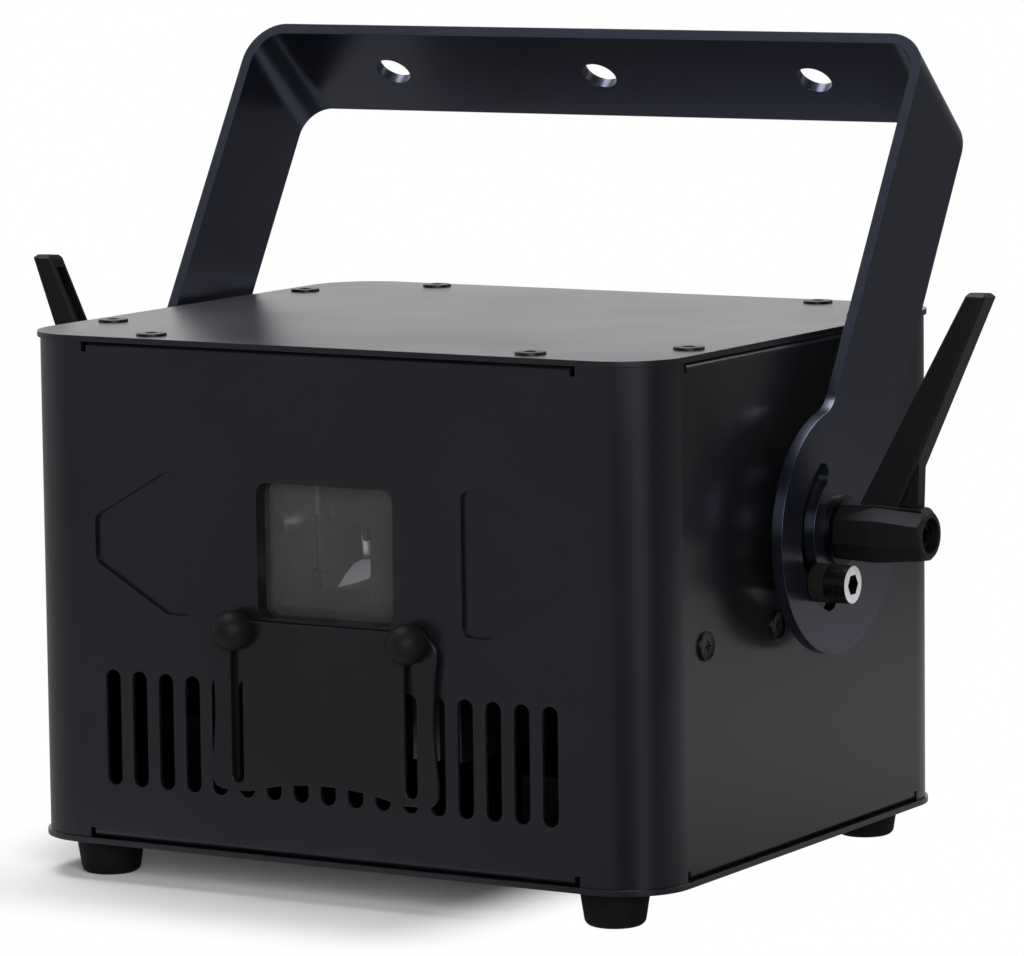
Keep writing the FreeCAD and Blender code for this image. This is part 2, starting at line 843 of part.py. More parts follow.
# Feet, each a turned rubber cone with a bore for its screw
def foot(name, x, y):
    head_bore = "foot_head_radius + hole_clearance"
    shank_bore = "foot_screw_radius + hole_clearance"
    profile = [(head_bore, "0"), ("foot_bottom_radius - foot_edge", "0"), ("foot_bottom_radius", "foot_edge"),
               ("foot_top_radius", "foot_height"), (shank_bore, "foot_height"), (shank_bore, "foot_bore_depth"),
               (head_bore, "foot_bore_depth")]
    return place(turned(name, profile), x, y)


for corner, (x, y) in FOOT_PLACES.items():
    publish(foot(f"{corner}_foot", x, y), f"foot_{corner}")
foot_screw = domed("foot_screw_master", "foot_screw_radius", "foot_head_radius", "foot_head_height",
                   "foot_height - foot_bore_depth + foot_screw_grip")
foot_spots = [((x, y, "foot_bore_depth"), ACROSS) for x, y in FOOT_PLACES.values()]
publish(copies("foot_screw_group", foot_screw, foot_spots), "foot_screws")


# Side screws into the bench, rear panel and its screws
RIGHT_OUT = ALONG["x"]
LEFT_OUT = FreeCAD.Rotation(Y_AXIS, -QUARTER_ANGLE)
REAR_OUT = ALONG["y"]
FRONT_OUT = FreeCAD.Rotation(X_AXIS, QUARTER_ANGLE)
side_spots = [((side_face, y, "bench_level"), RIGHT_OUT) for y in SIDE_SCREWS]
side_spots += [((f"-{side_face}", y, "bench_level"), LEFT_OUT) for y in SIDE_SCREWS]
publish(copies("side_screw_group", pan, side_spots), "side_screws")
rear_spots = [((x, front_face, z), REAR_OUT) for x, z in rear_screw_places()]
publish(copies("rear_screw_group", small, rear_spots), "rear_screws")
control_levels = [f"({wall_top} - control_drop)", f"({wall_top} - control_drop - control_spacing)"]
rocker_room = "(rocker_height / 2 + rocker_swing)"
inlet_rocker_level = f"(inlet_level + inlet_height / 2 - inlet_rim - inlet_wall - {rocker_room})"
inlet_socket_level = "(inlet_level - inlet_height / 2 + inlet_rim + inlet_wall + socket_height / 2)"
inlet_body_width = "(inlet_width - 2 * inlet_rim)"
inlet_body_height = "(inlet_height - 2 * inlet_rim)"


def grille_slots(depth):
    """Ring-shaped slots before the fan, kept apart by a cross."""
    rings = []
    for number in range(int(measure("grille_count"))):
        outer = f"(fan_bore_radius - grille_bar / 2 - {number} * (grille_slot + grille_bar))"
        core = rod("grille_core", "y", f"{outer} - grille_slot", *depth, x=fan_x, z="fan_level")
        disc = rod("grille_disc", "y", outer, *depth, x=fan_x, z="fan_level")
        rings.append(cut("grille_ring", disc, [core]))
    span = (f"{fan_x} - fan_size / 2", f"{fan_x} + fan_size / 2")
    width = (f"{fan_x} - grille_bar / 2", f"{fan_x} + grille_bar / 2")
    level = block("grille_level", span, depth, ("fan_level - grille_bar / 2", "fan_level + grille_bar / 2"))
    upright = block("grille_upright", width, depth, ("fan_level - fan_size / 2", "fan_level + fan_size / 2"))
    return cut("grille", join("grille_rings", rings), [level, upright])


def rear_panel():
    width, height = "case_width - 2 * rear_panel_side", "wall_height - 2 * rear_panel_end"
    blank = padded("rear_blank", "XZ_Plane", f"-({panel_outer})", "rear_panel_thickness",
                   [rectangle(width, height, up=rear_level)])
    depth = (f"{panel_inner} - overrun", f"{panel_outer} + overrun")
    tools = [rod("panel_hole", "y", small_hole, *depth, x=x, z=z) for x, z in rear_screw_places()]
    tools.append(grille_slots(depth))
    tools.append(rod("key_opening", "y", "key_body_radius + hole_clearance", *depth, x=key_x, z=key_level))
    tools.append(rod("lock_opening", "y", "lock_body_radius + hole_clearance", *depth, x=lock_x, z=lock_level))
    tools.append(rod("lamp_opening", "y", "lamp_radius + hole_clearance", *depth, x=f"-{lamp_x}",
                     z=lamp_level))
    half, tall = f"({inlet_body_width} / 2 + hole_clearance)", f"({inlet_body_height} / 2 + hole_clearance)"
    tools.append(block("inlet_opening", (f"-{inlet_x} - {half}", f"-{inlet_x} + {half}"), depth,
                       (f"inlet_level - {tall}", f"inlet_level + {tall}")))
    half, tall = "(control_shell_width / 2 + hole_clearance)", "(control_shell_height / 2 + hole_clearance)"
    for level in control_levels:
        tools.append(block("control_opening", (f"-{half}", half), depth,
                           (f"{level} - {tall}", f"{level} + {tall}")))
    return cut("rear_panel_cut", blank, tools)


publish(rear_panel(), "rear_panel")

# Inner front plate, window glass and its retainer
backing_front = f"-{inner_front}"
backing_rear = f"(-{inner_front} + backing_thickness)"
retainer_rear = f"({backing_rear} + retainer_thickness)"
retainer_screw_x = "(window_width / 2 + retainer_lap / 2 + glass_lap / 2)"
retainer_screw_z = "(window_height / 4)"
RETAINER_SCREWS = [(f"{a}{retainer_screw_x}", f"window_level {b} {retainer_screw_z}")
                   for a in ("-", "") for b in "-+"]


def backing_plate():
    half, tall = f"({inner_side} - backing_margin)", "(backing_height / 2)"
    blank = block("backing_blank", (f"-{half}", half), (backing_front, backing_rear),
                  (f"window_level - {tall}", f"window_level + {tall}"))
    blank = soften("backing_round", blank, "backing_corner", runs("y"))
    depth = (f"{backing_front} - overrun", f"{backing_rear} + overrun")
    tools = [window_tool("backing_window", "0", depth)]
    for sign in ("-", ""):
        tools.append(rod("stud_thread", "y", "knob_stud_radius + running_clearance", *depth,
                         x=f"{sign}knob_spread", z="knob_level"))
    tools += [rod("retainer_thread", "y", small_hole, *depth, x=x, z=z) for x, z in RETAINER_SCREWS]
    return cut("backing_cut", blank, tools)


def window_retainer():
    depth = (backing_rear, retainer_rear)
    blank = window_tool("retainer_blank", "glass_lap + retainer_lap", depth)
    seat = (f"{backing_rear} - overrun", f"{backing_rear} + retainer_thickness - retainer_lip")
    through = (f"{backing_rear} - overrun", f"{retainer_rear} + overrun")
    tools = [window_tool("glass_seat", "glass_lap + hole_clearance", seat),
             window_tool("retainer_window", "0", through)]
    tools += [rod("retainer_hole", "y", small_hole, *through, x=x, z=z) for x, z in RETAINER_SCREWS]
    return cut("retainer_cut", blank, tools)


publish(backing_plate(), "front_backing_plate")
publish(window_tool("glass", "glass_lap", (backing_rear, f"{backing_rear} + glass_thickness")), "window_glass")
publish(window_retainer(), "window_retainer")
retainer_spots = [((x, retainer_rear, z), REAR_OUT) for x, z in RETAINER_SCREWS]
publish(copies("window_screw_group", small, retainer_spots), "window_screws")

# Mask plate that slides over the window, and the ball knobs that hold it
mask_rear = f"(-{front_face} - mask_gap)"
mask_front = f"({mask_rear} - mask_thickness)"
mask_depth = (mask_front, mask_rear)
mask_through = (f"{mask_front} - overrun", f"{mask_rear} + overrun")
KNOB_PLACES = ("-knob_spread", "knob_spread")


def mask_plate():
    wide = ("-mask_half_width", "mask_half_width")
    flat = block("mask_sheet", wide, mask_depth, ("mask_bottom", "mask_top"))
    half_way = measure("mask_top + mask_bottom") / 2
    flat = soften("mask_low_round", flat, "mask_corner",
                  lambda edge: runs("y")(edge) and middle(edge).z < half_way)
    top = measure("mask_top")
    flat = soften("mask_top_round", flat, "mask_top_corner",
                  lambda edge: runs("y")(edge) and abs(middle(edge).z - top) < measure("mask_thickness"))
    ears = [rod("mask_ear_disc", "y", "mask_ear", *mask_depth, x=x, z="knob_level") for x in KNOB_PLACES]
    whole = join("mask_whole", [flat] + ears)
    arch = "((mask_arch ^ 2 + mask_arch_rise ^ 2) / (2 * mask_arch_rise))"
    tools = [rod("mask_arch_tool", "y", arch, *mask_through, z=f"mask_bottom + mask_arch_rise - {arch}")]
    waist = "((mask_waist ^ 2 + mask_waist_rise ^ 2) / (2 * mask_waist_rise))"
    for sign in ("-", ""):
        away = f"{sign}(mask_half_width - mask_waist_rise + {waist})"
        tools.append(rod("mask_waist_tool", "y", waist, *mask_through, x=away, z="mask_waist_level"))
    half = "(mask_slot_width / 2)"
    foot_end = f"mask_slot_bottom + {half}"
    for x in KNOB_PLACES:
        tools.append(block("mask_slot", (f"{x} - {half}", f"{x} + {half}"), mask_through,
                           (foot_end, "knob_level")))
        tools += [rod("mask_slot_end", "y", half, *mask_through, x=x, z=level)
                  for level in (foot_end, "knob_level")]
    return cut("mask_cut", whole, tools)


def mask_knob(name, x):
    """A ball knob with a flat back and its threaded stud, turned about its own axis."""
    back = "(knob_stand - mask_gap - mask_thickness - sliding_gap)"
    tip = "(knob_stand + sheet + backing_thickness - sliding_gap)"
    ball = doc.addObject("Part::Sphere", name + "_ball")
    bind(ball, Radius="knob_radius")
    beyond = "(knob_radius + overrun)"
    flat = block(name + "_back", (f"-{beyond}", beyond), (f"-{beyond}", beyond), (f"-{beyond}", f"-{back}"))
    head = cut(name + "_head", ball, [flat])
    stud = rod(name + "_stud", "z", "knob_stud_radius", f"-{tip}", "0")
    knob = join(name, [head, stud])
    return place(knob, x, f"-{front_face} - knob_stand", "knob_level", FRONT_OUT)


publish(mask_plate(), "mask_plate")
publish(mask_knob("left_knob", "-knob_spread"), "mask_knob_left")
publish(mask_knob("right_knob", "knob_spread"), "mask_knob_right")

# Yoke, drawn upright about its pivot and leaned back at the end
yoke_inner = f"({side_face} + yoke_side_gap)"
yoke_half_width = f"({yoke_inner} + yoke_thickness)"
bar_width = "(yoke_arm_width / cos(yoke_bar_sweep))"
bar_spare = "(yoke_leg * sin(yoke_bar_sweep) + overrun)"
arm_edges = ("-yoke_arm_shift - yoke_arm_width / 2", "-yoke_arm_shift + yoke_arm_width / 2")


def yoke_bar():
    """The top bar with both bends, a staple section padded across its width and trimmed to the arms."""
    wide, thin, leg = yoke_half_width, yoke_inner, "-yoke_leg"
    points = [(f"-{wide}", leg), (f"-{wide}", "0"), (wide, "0"), (wide, leg), (thin, leg),
              (thin, "-yoke_thickness"), (f"-{thin}", "-yoke_thickness"), (f"-{thin}", leg)]
    staple = padded("staple", "XZ_Plane", f"-{bar_width} / 2 - {bar_spare}", f"{bar_width} + 2 * {bar_spare}",
                    [points])
    staple = soften("staple_outer", staple, "yoke_bend_radius",
                    lambda edge: runs("y")(edge) and abs(middle(edge).z) < measure("yoke_thickness") / 2)
    thickness = measure("yoke_thickness")
    staple = soften("staple_inner", staple, "yoke_bend_radius - yoke_thickness",
                    lambda edge: runs("y")(edge) and abs(middle(edge).z + thickness) < thickness / 4
                    and abs(middle(edge).x) > measure(yoke_inner) - thickness / 4)
    holes = []
    for x in ("-yoke_hole_spread", "0", "yoke_hole_spread"):
        holes.append(rod("yoke_hole", "z", "yoke_hole_radius", "-yoke_thickness - overrun", "overrun", x=x))
    bar = cut("yoke_bar_drilled", staple, holes)
    lean(place(bar, "0", "-yoke_arm_shift", "yoke_arm_length"), X_AXIS, "-yoke_bar_sweep")
    trim = block("yoke_bar_trim", (f"-{wide} - overrun", f"{wide} + overrun"), arm_edges,
                 ("0", "2 * yoke_arm_length"))
    kept = doc.addObject("Part::MultiCommon", "yoke_bar_trimmed")
    kept.Shapes = [bar, trim]
    return kept


def yoke_arm(name, low, high):
    """One arm with its round end, arc slot and pivot hole."""
    leg_z = "(yoke_arm_length - yoke_leg / cos(yoke_bar_sweep))"
    half_z = "(yoke_arm_width / 2 * tan(yoke_bar_sweep))"
    front, rear = arm_edges
    points = [(front, "0"), (rear, "0"), (rear, f"{leg_z} - {half_z}"), (front, f"{leg_z} + {half_z}")]
    strip = padded(name + "_strip", "YZ_Plane", low, "yoke_thickness", [points])
    disc = rod(name + "_disc", "x", "yoke_disc_radius", low, high)
    arm = join(name + "_plate", [strip, disc])
    fork = measure("yoke_disc_radius")

    def neck(edge):
        away = math.hypot(middle(edge).y, middle(edge).z)
        return runs("x")(edge) and abs(away - fork) < measure("yoke_thickness") / 4 and middle(edge).z > 0
    arm = soften(name + "_neck", arm, "yoke_neck_radius", neck)
    tools = [rod(name + "_pivot", "x", "hub_spigot_radius + running_clearance", f"{low} - overrun",
                 f"{high} + overrun")]
    tools.append(slot_tool(name, f"{low} - overrun"))
    return cut(name, arm, tools)


def slot_tool(name, low):
    """An arc slot about the pivot, drawn about Z and then turned to the X axis."""
    height = "yoke_thickness + 2 * overrun"
    sector = doc.addObject("Part::Cylinder", name + "_sector")
    bind(sector, Radius="slot_radius + slot_width / 2", Height=height, Angle="slot_span")
    core = doc.addObject("Part::Cylinder", name + "_core")
    bind(core, Radius="slot_radius - slot_width / 2", Height=height)
    ends = []
    for angle in ("0", "slot_span"):
        end = doc.addObject("Part::Cylinder", name + "_slot_end")
        bind(end, Radius="slot_width / 2", Height=height)
        ends.append(place(end, f"slot_radius * cos({angle})", f"slot_radius * sin({angle})"))
    arc = join(name + "_arc", [cut(name + "_band", sector, [core])] + ends)
    lean(arc, Z_AXIS, "slot_start")
    return place(together(name + "_arc_upright", [arc]), x=low, turn=CYCLE)


def yoke():
    right = yoke_arm("right_arm", yoke_inner, yoke_half_width)
    left = yoke_arm("left_arm", f"-{yoke_half_width}", f"-{yoke_inner}")
    whole = join("yoke_whole", [yoke_bar(), right, left])
    return lean(place(whole, "0", "-pivot_forward", "pivot_level"), X_AXIS, "-yoke_arm_lean")


publish(yoke(), "yoke")

# Pivot hubs, washers, stop bolts and their sleeves, one set per side
hub_face = f"({yoke_inner} - friction_thickness)"
spigot_end = f"({yoke_half_width} - sliding_gap)"
clamp_face = f"({yoke_half_width} + clamp_washer_thickness)"
stop_under_head = f"({yoke_half_width} + sliding_gap + stop_sleeve_length)"
stop_tip = f"({inner_side} - stop_nut_height - overrun)"


def pivot_hub():
    """A turned hub with a spigot, standing on the right side of the case."""
    body = rod("hub_body", "x", "hub_radius", side_face, hub_face)
    spigot = rod("hub_spigot", "x", "hub_spigot_radius", side_face, spigot_end)
    whole = join("hub_whole", [body, spigot])
    thread = rod("hub_thread", "x", "stud_radius + running_clearance", f"{side_face} - overrun",
                 f"{spigot_end} + overrun")
    tools = [thread]
    for y, z in hub_screw_places():
        tools.append(rod("hub_screw_thread", "x", small_hole, f"{side_face} - overrun",
                         f"{side_face} + hub_screw_length",
                         y=f"{y} + pivot_forward", z=f"{z} - pivot_level"))
    return cut("hub_drilled", whole, tools)


def washer(name, outer, inner, low, high):
    """A flat washer about the pivot axis."""
    return cut(name, rod(name + "_disc", "x", outer, low, high),
               [rod(name + "_hole", "x", inner, f"{low} - overrun", f"{high} + overrun")])


def stop_bolt():
    """A socket-head bolt with a collar on the case wall, about its own axis."""
    shank = rod("stop_shank", "x", "stop_radius", stop_tip, stop_under_head)
    collar = rod("stop_collar", "x", "stop_collar_radius", side_face, f"{side_face} + stop_collar_height")
    head = rod("stop_head", "x", "stop_head_radius", stop_under_head, f"{stop_under_head} + stop_head_height")
    socket = hexagon("stop_socket_tool", "x", "stop_socket",
                     f"{stop_under_head} + stop_head_height - stop_socket_depth",
                     f"{stop_under_head} + stop_head_height + overrun")
    return cut("stop_bolt_master", join("stop_bolt_blank", [shank, collar, head]), [socket])


def on_pivot(name, master):
    """A solid drawn about the X axis, moved to the pivot on the right."""
    return place(together(name, [master]), "0", "-pivot_forward", "pivot_level")


def both_sides(name, right):
    """A solid and its twin on the other side."""
    return together(name, [right, mirrored(name + "_twin", right)])


hub_right = on_pivot("hub_right", pivot_hub())
publish(mirrored("hub_left", hub_right), "pivot_hub_left")
publish(hub_right, "pivot_hub_right")
hub_screw_right = copies("hub_screw_right", small,
                         [((inner_side, y, z), LEFT_OUT) for y, z in hub_screw_places()])
publish(both_sides("hub_screw_group", hub_screw_right), "hub_screws")
friction = washer("friction", "friction_radius", "hub_spigot_radius + hole_clearance", hub_face, yoke_inner)
publish(both_sides("friction_group", on_pivot("friction_right", friction)), "friction_washers")
clamp = washer("clamp", "clamp_washer_radius", "stud_radius + sliding_gap", yoke_half_width, clamp_face)
publish(both_sides("clamp_group", on_pivot("clamp_right", clamp)), "clamp_washers")
stop_right = place(stop_bolt(), "0", stop_y, stop_z)
publish(both_sides("stop_bolt_group", stop_right), "stop_bolts")
sleeve = washer("sleeve", "stop_head_radius", "stop_radius + hole_clearance",
                f"{stop_under_head} - stop_sleeve_length", stop_under_head)
publish(both_sides("stop_sleeve_group", place(sleeve, "0", stop_y, stop_z)), "stop_sleeves")
nut_body = hexagon("stop_nut_body", "x", "stop_nut_circumradius", f"{inner_side} - stop_nut_height", inner_side)
nut_thread = rod("stop_nut_thread", "x", "stop_radius + hole_clearance", f"{stop_tip} - overrun", side_face)
stop_nut = place(cut("stop_nut", nut_body, [nut_thread]), "0", stop_y, stop_z)
publish(both_sides("stop_nut_group", stop_nut), "stop_nuts")

# Clamp levers: handle, stud with insert, spring and screw, drawn outwards along X from the clamp washer
insert_top = "insert_height"
shoulder_top = "(lever_hub_length - lever_bore_depth)"
shoulder_bottom = f"({shoulder_top} - lever_shoulder)"
spring_length = "(lever_lift + (spring_turns + 1) * spring_wire + sliding_gap)"
screw_under_head = f"({shoulder_top} + {spring_length})"


def lever_handle():
    base = "sliding_gap"
    belly = "(lever_hub_length * lever_belly_share)"
    profile = [("0", base), ("lever_base_radius", base), ("lever_belly_radius", belly),
               ("lever_end_radius", "lever_hub_length - lever_hub_edge"),
               ("lever_end_radius - lever_hub_edge", "lever_hub_length"), ("0", "lever_hub_length")]
    hub_out = place(together("lever_hub_out", [turned("lever_hub", profile)]), turn=ALONG["x"])
    root, tip = "(lever_root_thickness / 2)", "(lever_tip_thickness / 2)"
    root_inner, root_outer = f"(lever_root_offset - {root})", f"(lever_root_offset + {root})"
    tip_inner, tip_outer = f"(lever_tip_offset - {tip})", f"(lever_tip_offset + {tip})"
    points = [(root_inner, "0"), (root_outer, "0"), (tip_outer, "lever_tip_height"),
              (tip_inner, "lever_tip_height")]
    arm = padded("lever_arm", "XZ_Plane", "-lever_arm_width / 2", "lever_arm_width", [points])
    arm = soften("lever_arm_round", arm, "lever_arm_edge",
                 lambda edge: middle(edge).z > measure("lever_belly_radius"))
    web_top = f"((lever_web_offset - {root_outer}) / ({tip_outer} - {root_outer}) * lever_tip_height)"
    web = padded("lever_web", "XZ_Plane", "-lever_web_width / 2", "lever_web_width",
                 [[("lever_root_offset", "0"), ("lever_web_offset", "0"), ("lever_web_offset", web_top)]])
    whole = join("lever_whole", [hub_out, arm, web])
    low, high = "(lever_belly_radius + lever_channel_margin)", "(lever_tip_height - lever_channel_margin)"
    inner_slope = f"(({tip_inner} - {root_inner}) / lever_tip_height)"
    low_x, high_x = f"{root_inner} + {low} * {inner_slope}", f"{root_inner} + {high} * {inner_slope}"
    channel = [(f"{low_x} - overrun", low), (f"{low_x} + lever_channel_depth", low),
               (f"{high_x} + lever_channel_depth", high), (f"{high_x} - overrun", high)]
    groove = padded("lever_channel", "XZ_Plane", "-lever_channel_width / 2", "lever_channel_width", [channel])
    socket = rod("lever_socket", "x", "insert_radius + running_clearance", "-overrun", shoulder_bottom)
    neck = rod("lever_neck", "x", "lever_screw_radius + sliding_gap", "0", "lever_hub_length")
    bore = rod("lever_bore", "x", "lever_bore_radius", shoulder_top, "lever_hub_length + overrun")
    return cut("lever_master", whole, [groove, socket, neck, bore])


def lever_stud():
    insert = rod("insert_body", "x", "insert_radius", "0", insert_top)
    stud = rod("insert_stud", "x", "stud_radius", "-stud_reach", "0")
    thread = rod("insert_thread", "x", "lever_screw_radius + hole_clearance",
                 f"{insert_top} - lever_screw_reach",
                 f"{insert_top} + overrun")
    return cut("stud_master", join("stud_blank", [insert, stud]), [thread])


def lever_screw():
    shank = rod("lever_shank", "x", "lever_screw_radius", f"{insert_top} - lever_screw_reach", screw_under_head)
    head_end = f"{screw_under_head} + lever_screw_head_height"
    head = rod("lever_screw_head", "x", "lever_screw_head_radius", screw_under_head, head_end)
    socket = hexagon("lever_screw_socket_tool", "x", "lever_screw_socket",
                     f"{screw_under_head} + lever_screw_head_height / 2", f"{head_end} + overrun")
    return cut("lever_screw_master", join("lever_screw_blank", [shank, head]), [socket])


def arc_between(start, tangent, end):
    """The arc that leaves start along tangent and reaches end."""
    chord = end - start
    inward = tangent.cross(chord).cross(tangent)
    inward.normalize()
    radius = chord.dot(chord) / (2 * chord.dot(inward))
    centre = start + inward * radius
    outward = (start + end) / 2 - centre
    outward.normalize()
    return Part.Arc(start, centre + outward * radius, end).toShape()


def coil_path(radius, height, turns):
    """A rising coil of half turns, each a pair of arcs that meet with one tangent."""
    def spot(turn):
        angle = 2 * math.pi * turn
        return FreeCAD.Vector(radius * math.cos(angle), radius * math.sin(angle), height * turn / turns)

    def heading(turn):
        angle = 2 * math.pi * turn
        rise = height / (2 * math.pi * turns)
        return FreeCAD.Vector(-radius * math.sin(angle), radius * math.cos(angle), rise).normalize()

    edges = []
    for number in range(2 * turns):
        start, end = spot(number / 2), spot((number + 1) / 2)
        out, back = heading(number / 2), heading((number + 1) / 2)
        chord, both = end - start, out + back
        square, slope = both.dot(both) - 4, chord.dot(both)
        reach = (slope - math.sqrt(slope ** 2 - square * chord.dot(chord))) / square
        near, far = start + out * reach, end - back * reach
        edges.append(arc_between(start, out, (near + far) / 2))
        edges.append(arc_between((near + far) / 2, (far - near).normalize(), end))
    return Part.Wire(edges)


def lever_spring():
    """An open coil between the handle's shoulder and the screw's head."""
    radius, wire, turns = measure("spring_radius"), measure("spring_wire"), int(measure("spring_turns"))
    coil_height = measure(f"{spring_length} - spring_wire - sliding_gap")
    path = coil_path(radius, coil_height, turns)
    heading = path.Edges[0].tangentAt(path.Edges[0].FirstParameter)
    section = Part.Wire([Part.Circle(path.Edges[0].firstVertex().Point, heading, wire / 2).toShape()])
    coil = doc.addObject("Part::Feature", "spring_coil")
    coil.Shape = path.makePipeShell([section], True, False)
    points = path.discretize(SPRING_POINT_COUNT * turns)
    gaps = [(one - other).Length - wire for number, one in enumerate(points)
            for other in points[number + SPRING_POINT_COUNT // 2:]]
    print("spring coil: least gap between turns", round(min(gaps), 2))
    return place(together("spring_out", [coil]), f"{shoulder_top} + sliding_gap + spring_wire / 2",
                 turn=ALONG["x"])


LEVER_PIECES = {"lever": lever_handle(), "lever_stud": lever_stud(), "lever_spring": lever_spring(),
                "lever_screw": lever_screw()}
for word, master in LEVER_PIECES.items():
    right = place(together(f"{word}_right_group", [master]), clamp_face, "-pivot_forward", "pivot_level")
    lean(right, X_AXIS, "-lever_lean")
    publish(right, f"{word}_right")
    publish(mirrored(f"{word}_left_twin", right), f"{word}_left")


# Optical bench with threaded edges for the side screws
def optical_bench():
    slab = block("bench_slab", (f"-{inner_side}", inner_side), (f"-{bench_front}", bench_rear),
                 (bench_bottom, bench_top))
    tools = []
    for y in SIDE_SCREWS:
        tools.append(rod("bench_thread_right", "x", pan_hole, f"{side_face} - pan_length - overrun",
                         side_face, y=y, z="bench_level"))
        tools.append(rod("bench_thread_left", "x", pan_hole, f"-{side_face}",
                         f"-{side_face} + pan_length + overrun",
                         y=y, z="bench_level"))
    return cut("bench_drilled", slab, tools)


publish(optical_bench(), "optical_bench")

# Scanner: a block with two crossed motors, each with its mirror
scanner_y = f"(scanner_inset - {front_face})"
x_axis_x = "(-mirror_axis_offset)"
y_axis_z = f"({bench_top} + mirror_axis_rise)"
scanner_top = f"({bench_top} + scanner_height)"
arm_bottom = f"({scanner_top} - scanner_arm_height)"
motor_fit = "motor_radius + hole_clearance"


def scanner_block():
    depth = (f"{scanner_y} - scanner_depth / 2", f"{scanner_y} + scanner_depth / 2")
    post = block("scanner_post", ("scanner_offset", "scanner_offset + scanner_width"), depth,
                 (bench_top, scanner_top))
    arm = block("scanner_arm", ("scanner_offset - scanner_arm_reach", "scanner_offset"), depth,
                (arm_bottom, scanner_top))
    whole = join("scanner_whole", [post, arm])
    bore_x = rod("scanner_bore_x", "z", motor_fit, f"{arm_bottom} - overrun", f"{scanner_top} + overrun",
                 x=x_axis_x, y=scanner_y)
    bore_y = rod("scanner_bore_y", "x", motor_fit, "scanner_offset - overrun",
                 "scanner_offset + scanner_width + overrun",
                 y=scanner_y, z=y_axis_z)
    return cut("scanner_bored", whole, [bore_x, bore_y])


def galvo_motor(name, length):
    """A motor can along Z with a collar near its tail and a bore for the mirror shaft."""
    can = rod(name + "_can", "z", "motor_radius", "0", f"{length} + motor_tail")
    collar = rod(name + "_collar", "z", "motor_collar_radius", length, f"{length} + motor_collar")
    bore = rod(name + "_bore", "z", "mirror_shaft_radius + running_clearance", "-overrun",
               "motor_shaft_depth + overrun")
    return cut(name, join(name + "_blank", [can, collar]), [bore])


def mirror(name, width, length, gap):
    """A shaft along Z with a thin mirror below z = 0, about its own axis."""
    shaft = rod(name + "_shaft", "z", "mirror_shaft_radius", f"-{gap} - mirror_shaft_radius",
                "motor_shaft_depth")
    glass = block(name + "_glass", (f"-{width} / 2", f"{width} / 2"),
                  ("-mirror_thickness / 2", "mirror_thickness / 2"),
                  (f"-{gap} - {length}", f"-{gap}"))
    glass = soften(name + "_leaf", glass, "mirror_corner", runs("y"))
    return join(name, [shaft, glass])


publish(scanner_block(), "scanner_block")
motor_x = place(galvo_motor("motor_x", "scanner_arm_height"), x_axis_x, scanner_y, arm_bottom)
motor_y = place(galvo_motor("motor_y", "scanner_width"), "scanner_offset", scanner_y, y_axis_z, ALONG["x"])
publish(together("motor_pair", [motor_x, motor_y]), "galvo_motors")
x_mirror = mirror("x_mirror", "x_mirror_width", "x_mirror_height", "mirror_gap")
y_mirror = mirror("y_mirror", "y_mirror_width", "y_mirror_length", "y_mirror_gap")
DIAGONAL = FreeCAD.Rotation(Z_AXIS, QUARTER_ANGLE / 2)
publish(place(x_mirror, x_axis_x, scanner_y, arm_bottom, DIAGONAL), "galvo_x_mirror")
publish(place(y_mirror, "scanner_offset", scanner_y, y_axis_z, ALONG["x"].multiply(DIAGONAL)), "galvo_y_mirror")


# Laser modules in a row, each with an output nozzle, and the combiner mirrors before them
laser_front = f"(laser_inset - {front_face})"


def laser_x(number):
    return f"(laser_side - {side_face} + {number} * laser_pitch)"


def laser(name, number):
    x = laser_x(number)
    can = block(name + "_can", (f"{x} - laser_width / 2", f"{x} + laser_width / 2"),
                (laser_front, f"{bench_rear} - laser_end"),
                (bench_top, f"{bench_top} + laser_height"))
    can = soften(name + "_round", can, "laser_edge", runs("z"))
    nozzle = rod(name + "_nozzle", "y", "laser_nozzle_radius", f"{laser_front} - laser_nozzle_length",
                 f"{laser_front} + laser_edge", x=x, z=f"{bench_top} + laser_height / 2")
    return join(name, [can, nozzle])


def combiner():
    """A foot with a slanted mirror plate, about its own axis."""
    half = "combiner_size / 2"
    foot_block = block("combiner_foot", (f"-{half}", half), (f"-{half}", half), ("0", "combiner_base"))
    plate = block("combiner_plate", (f"-{half}", half), ("-combiner_glass / 2", "combiner_glass / 2"),
                  ("0", "combiner_height"))
    return join("combiner_master", [foot_block, plate])


for number, colour in enumerate(("red", "green", "blue")):
    publish(laser(f"{colour}_module", number), f"{colour}_laser")
combiner_y = f"({laser_front} - laser_nozzle_length - combiner_gap)"
combiner_spots = [((laser_x(number), combiner_y, bench_top), DIAGONAL)
                  for number in range(3)]
publish(copies("combiner_group", combiner(), combiner_spots), "combiner_mirrors")


# Power supply, heat sink and boards below the bench
def power_supply():
    x = (f"supply_side - {side_face}", "-supply_offset")
    y = (f"supply_front_gap - {front_face}", f"{front_face} - supply_rear_gap")
    box = block("supply_box", x, y, (base_top, f"{base_top} + supply_height"))
    step = block("supply_step", (x[0] + " + supply_cover", x[1] + " - supply_cover"),
                 (f"{y[1]} - supply_terminals", f"{y[1]} + overrun"),
                 (f"{base_top} + supply_height / 2", f"{base_top} + supply_height + overrun"))
    return cut("supply_cut", box, [step])


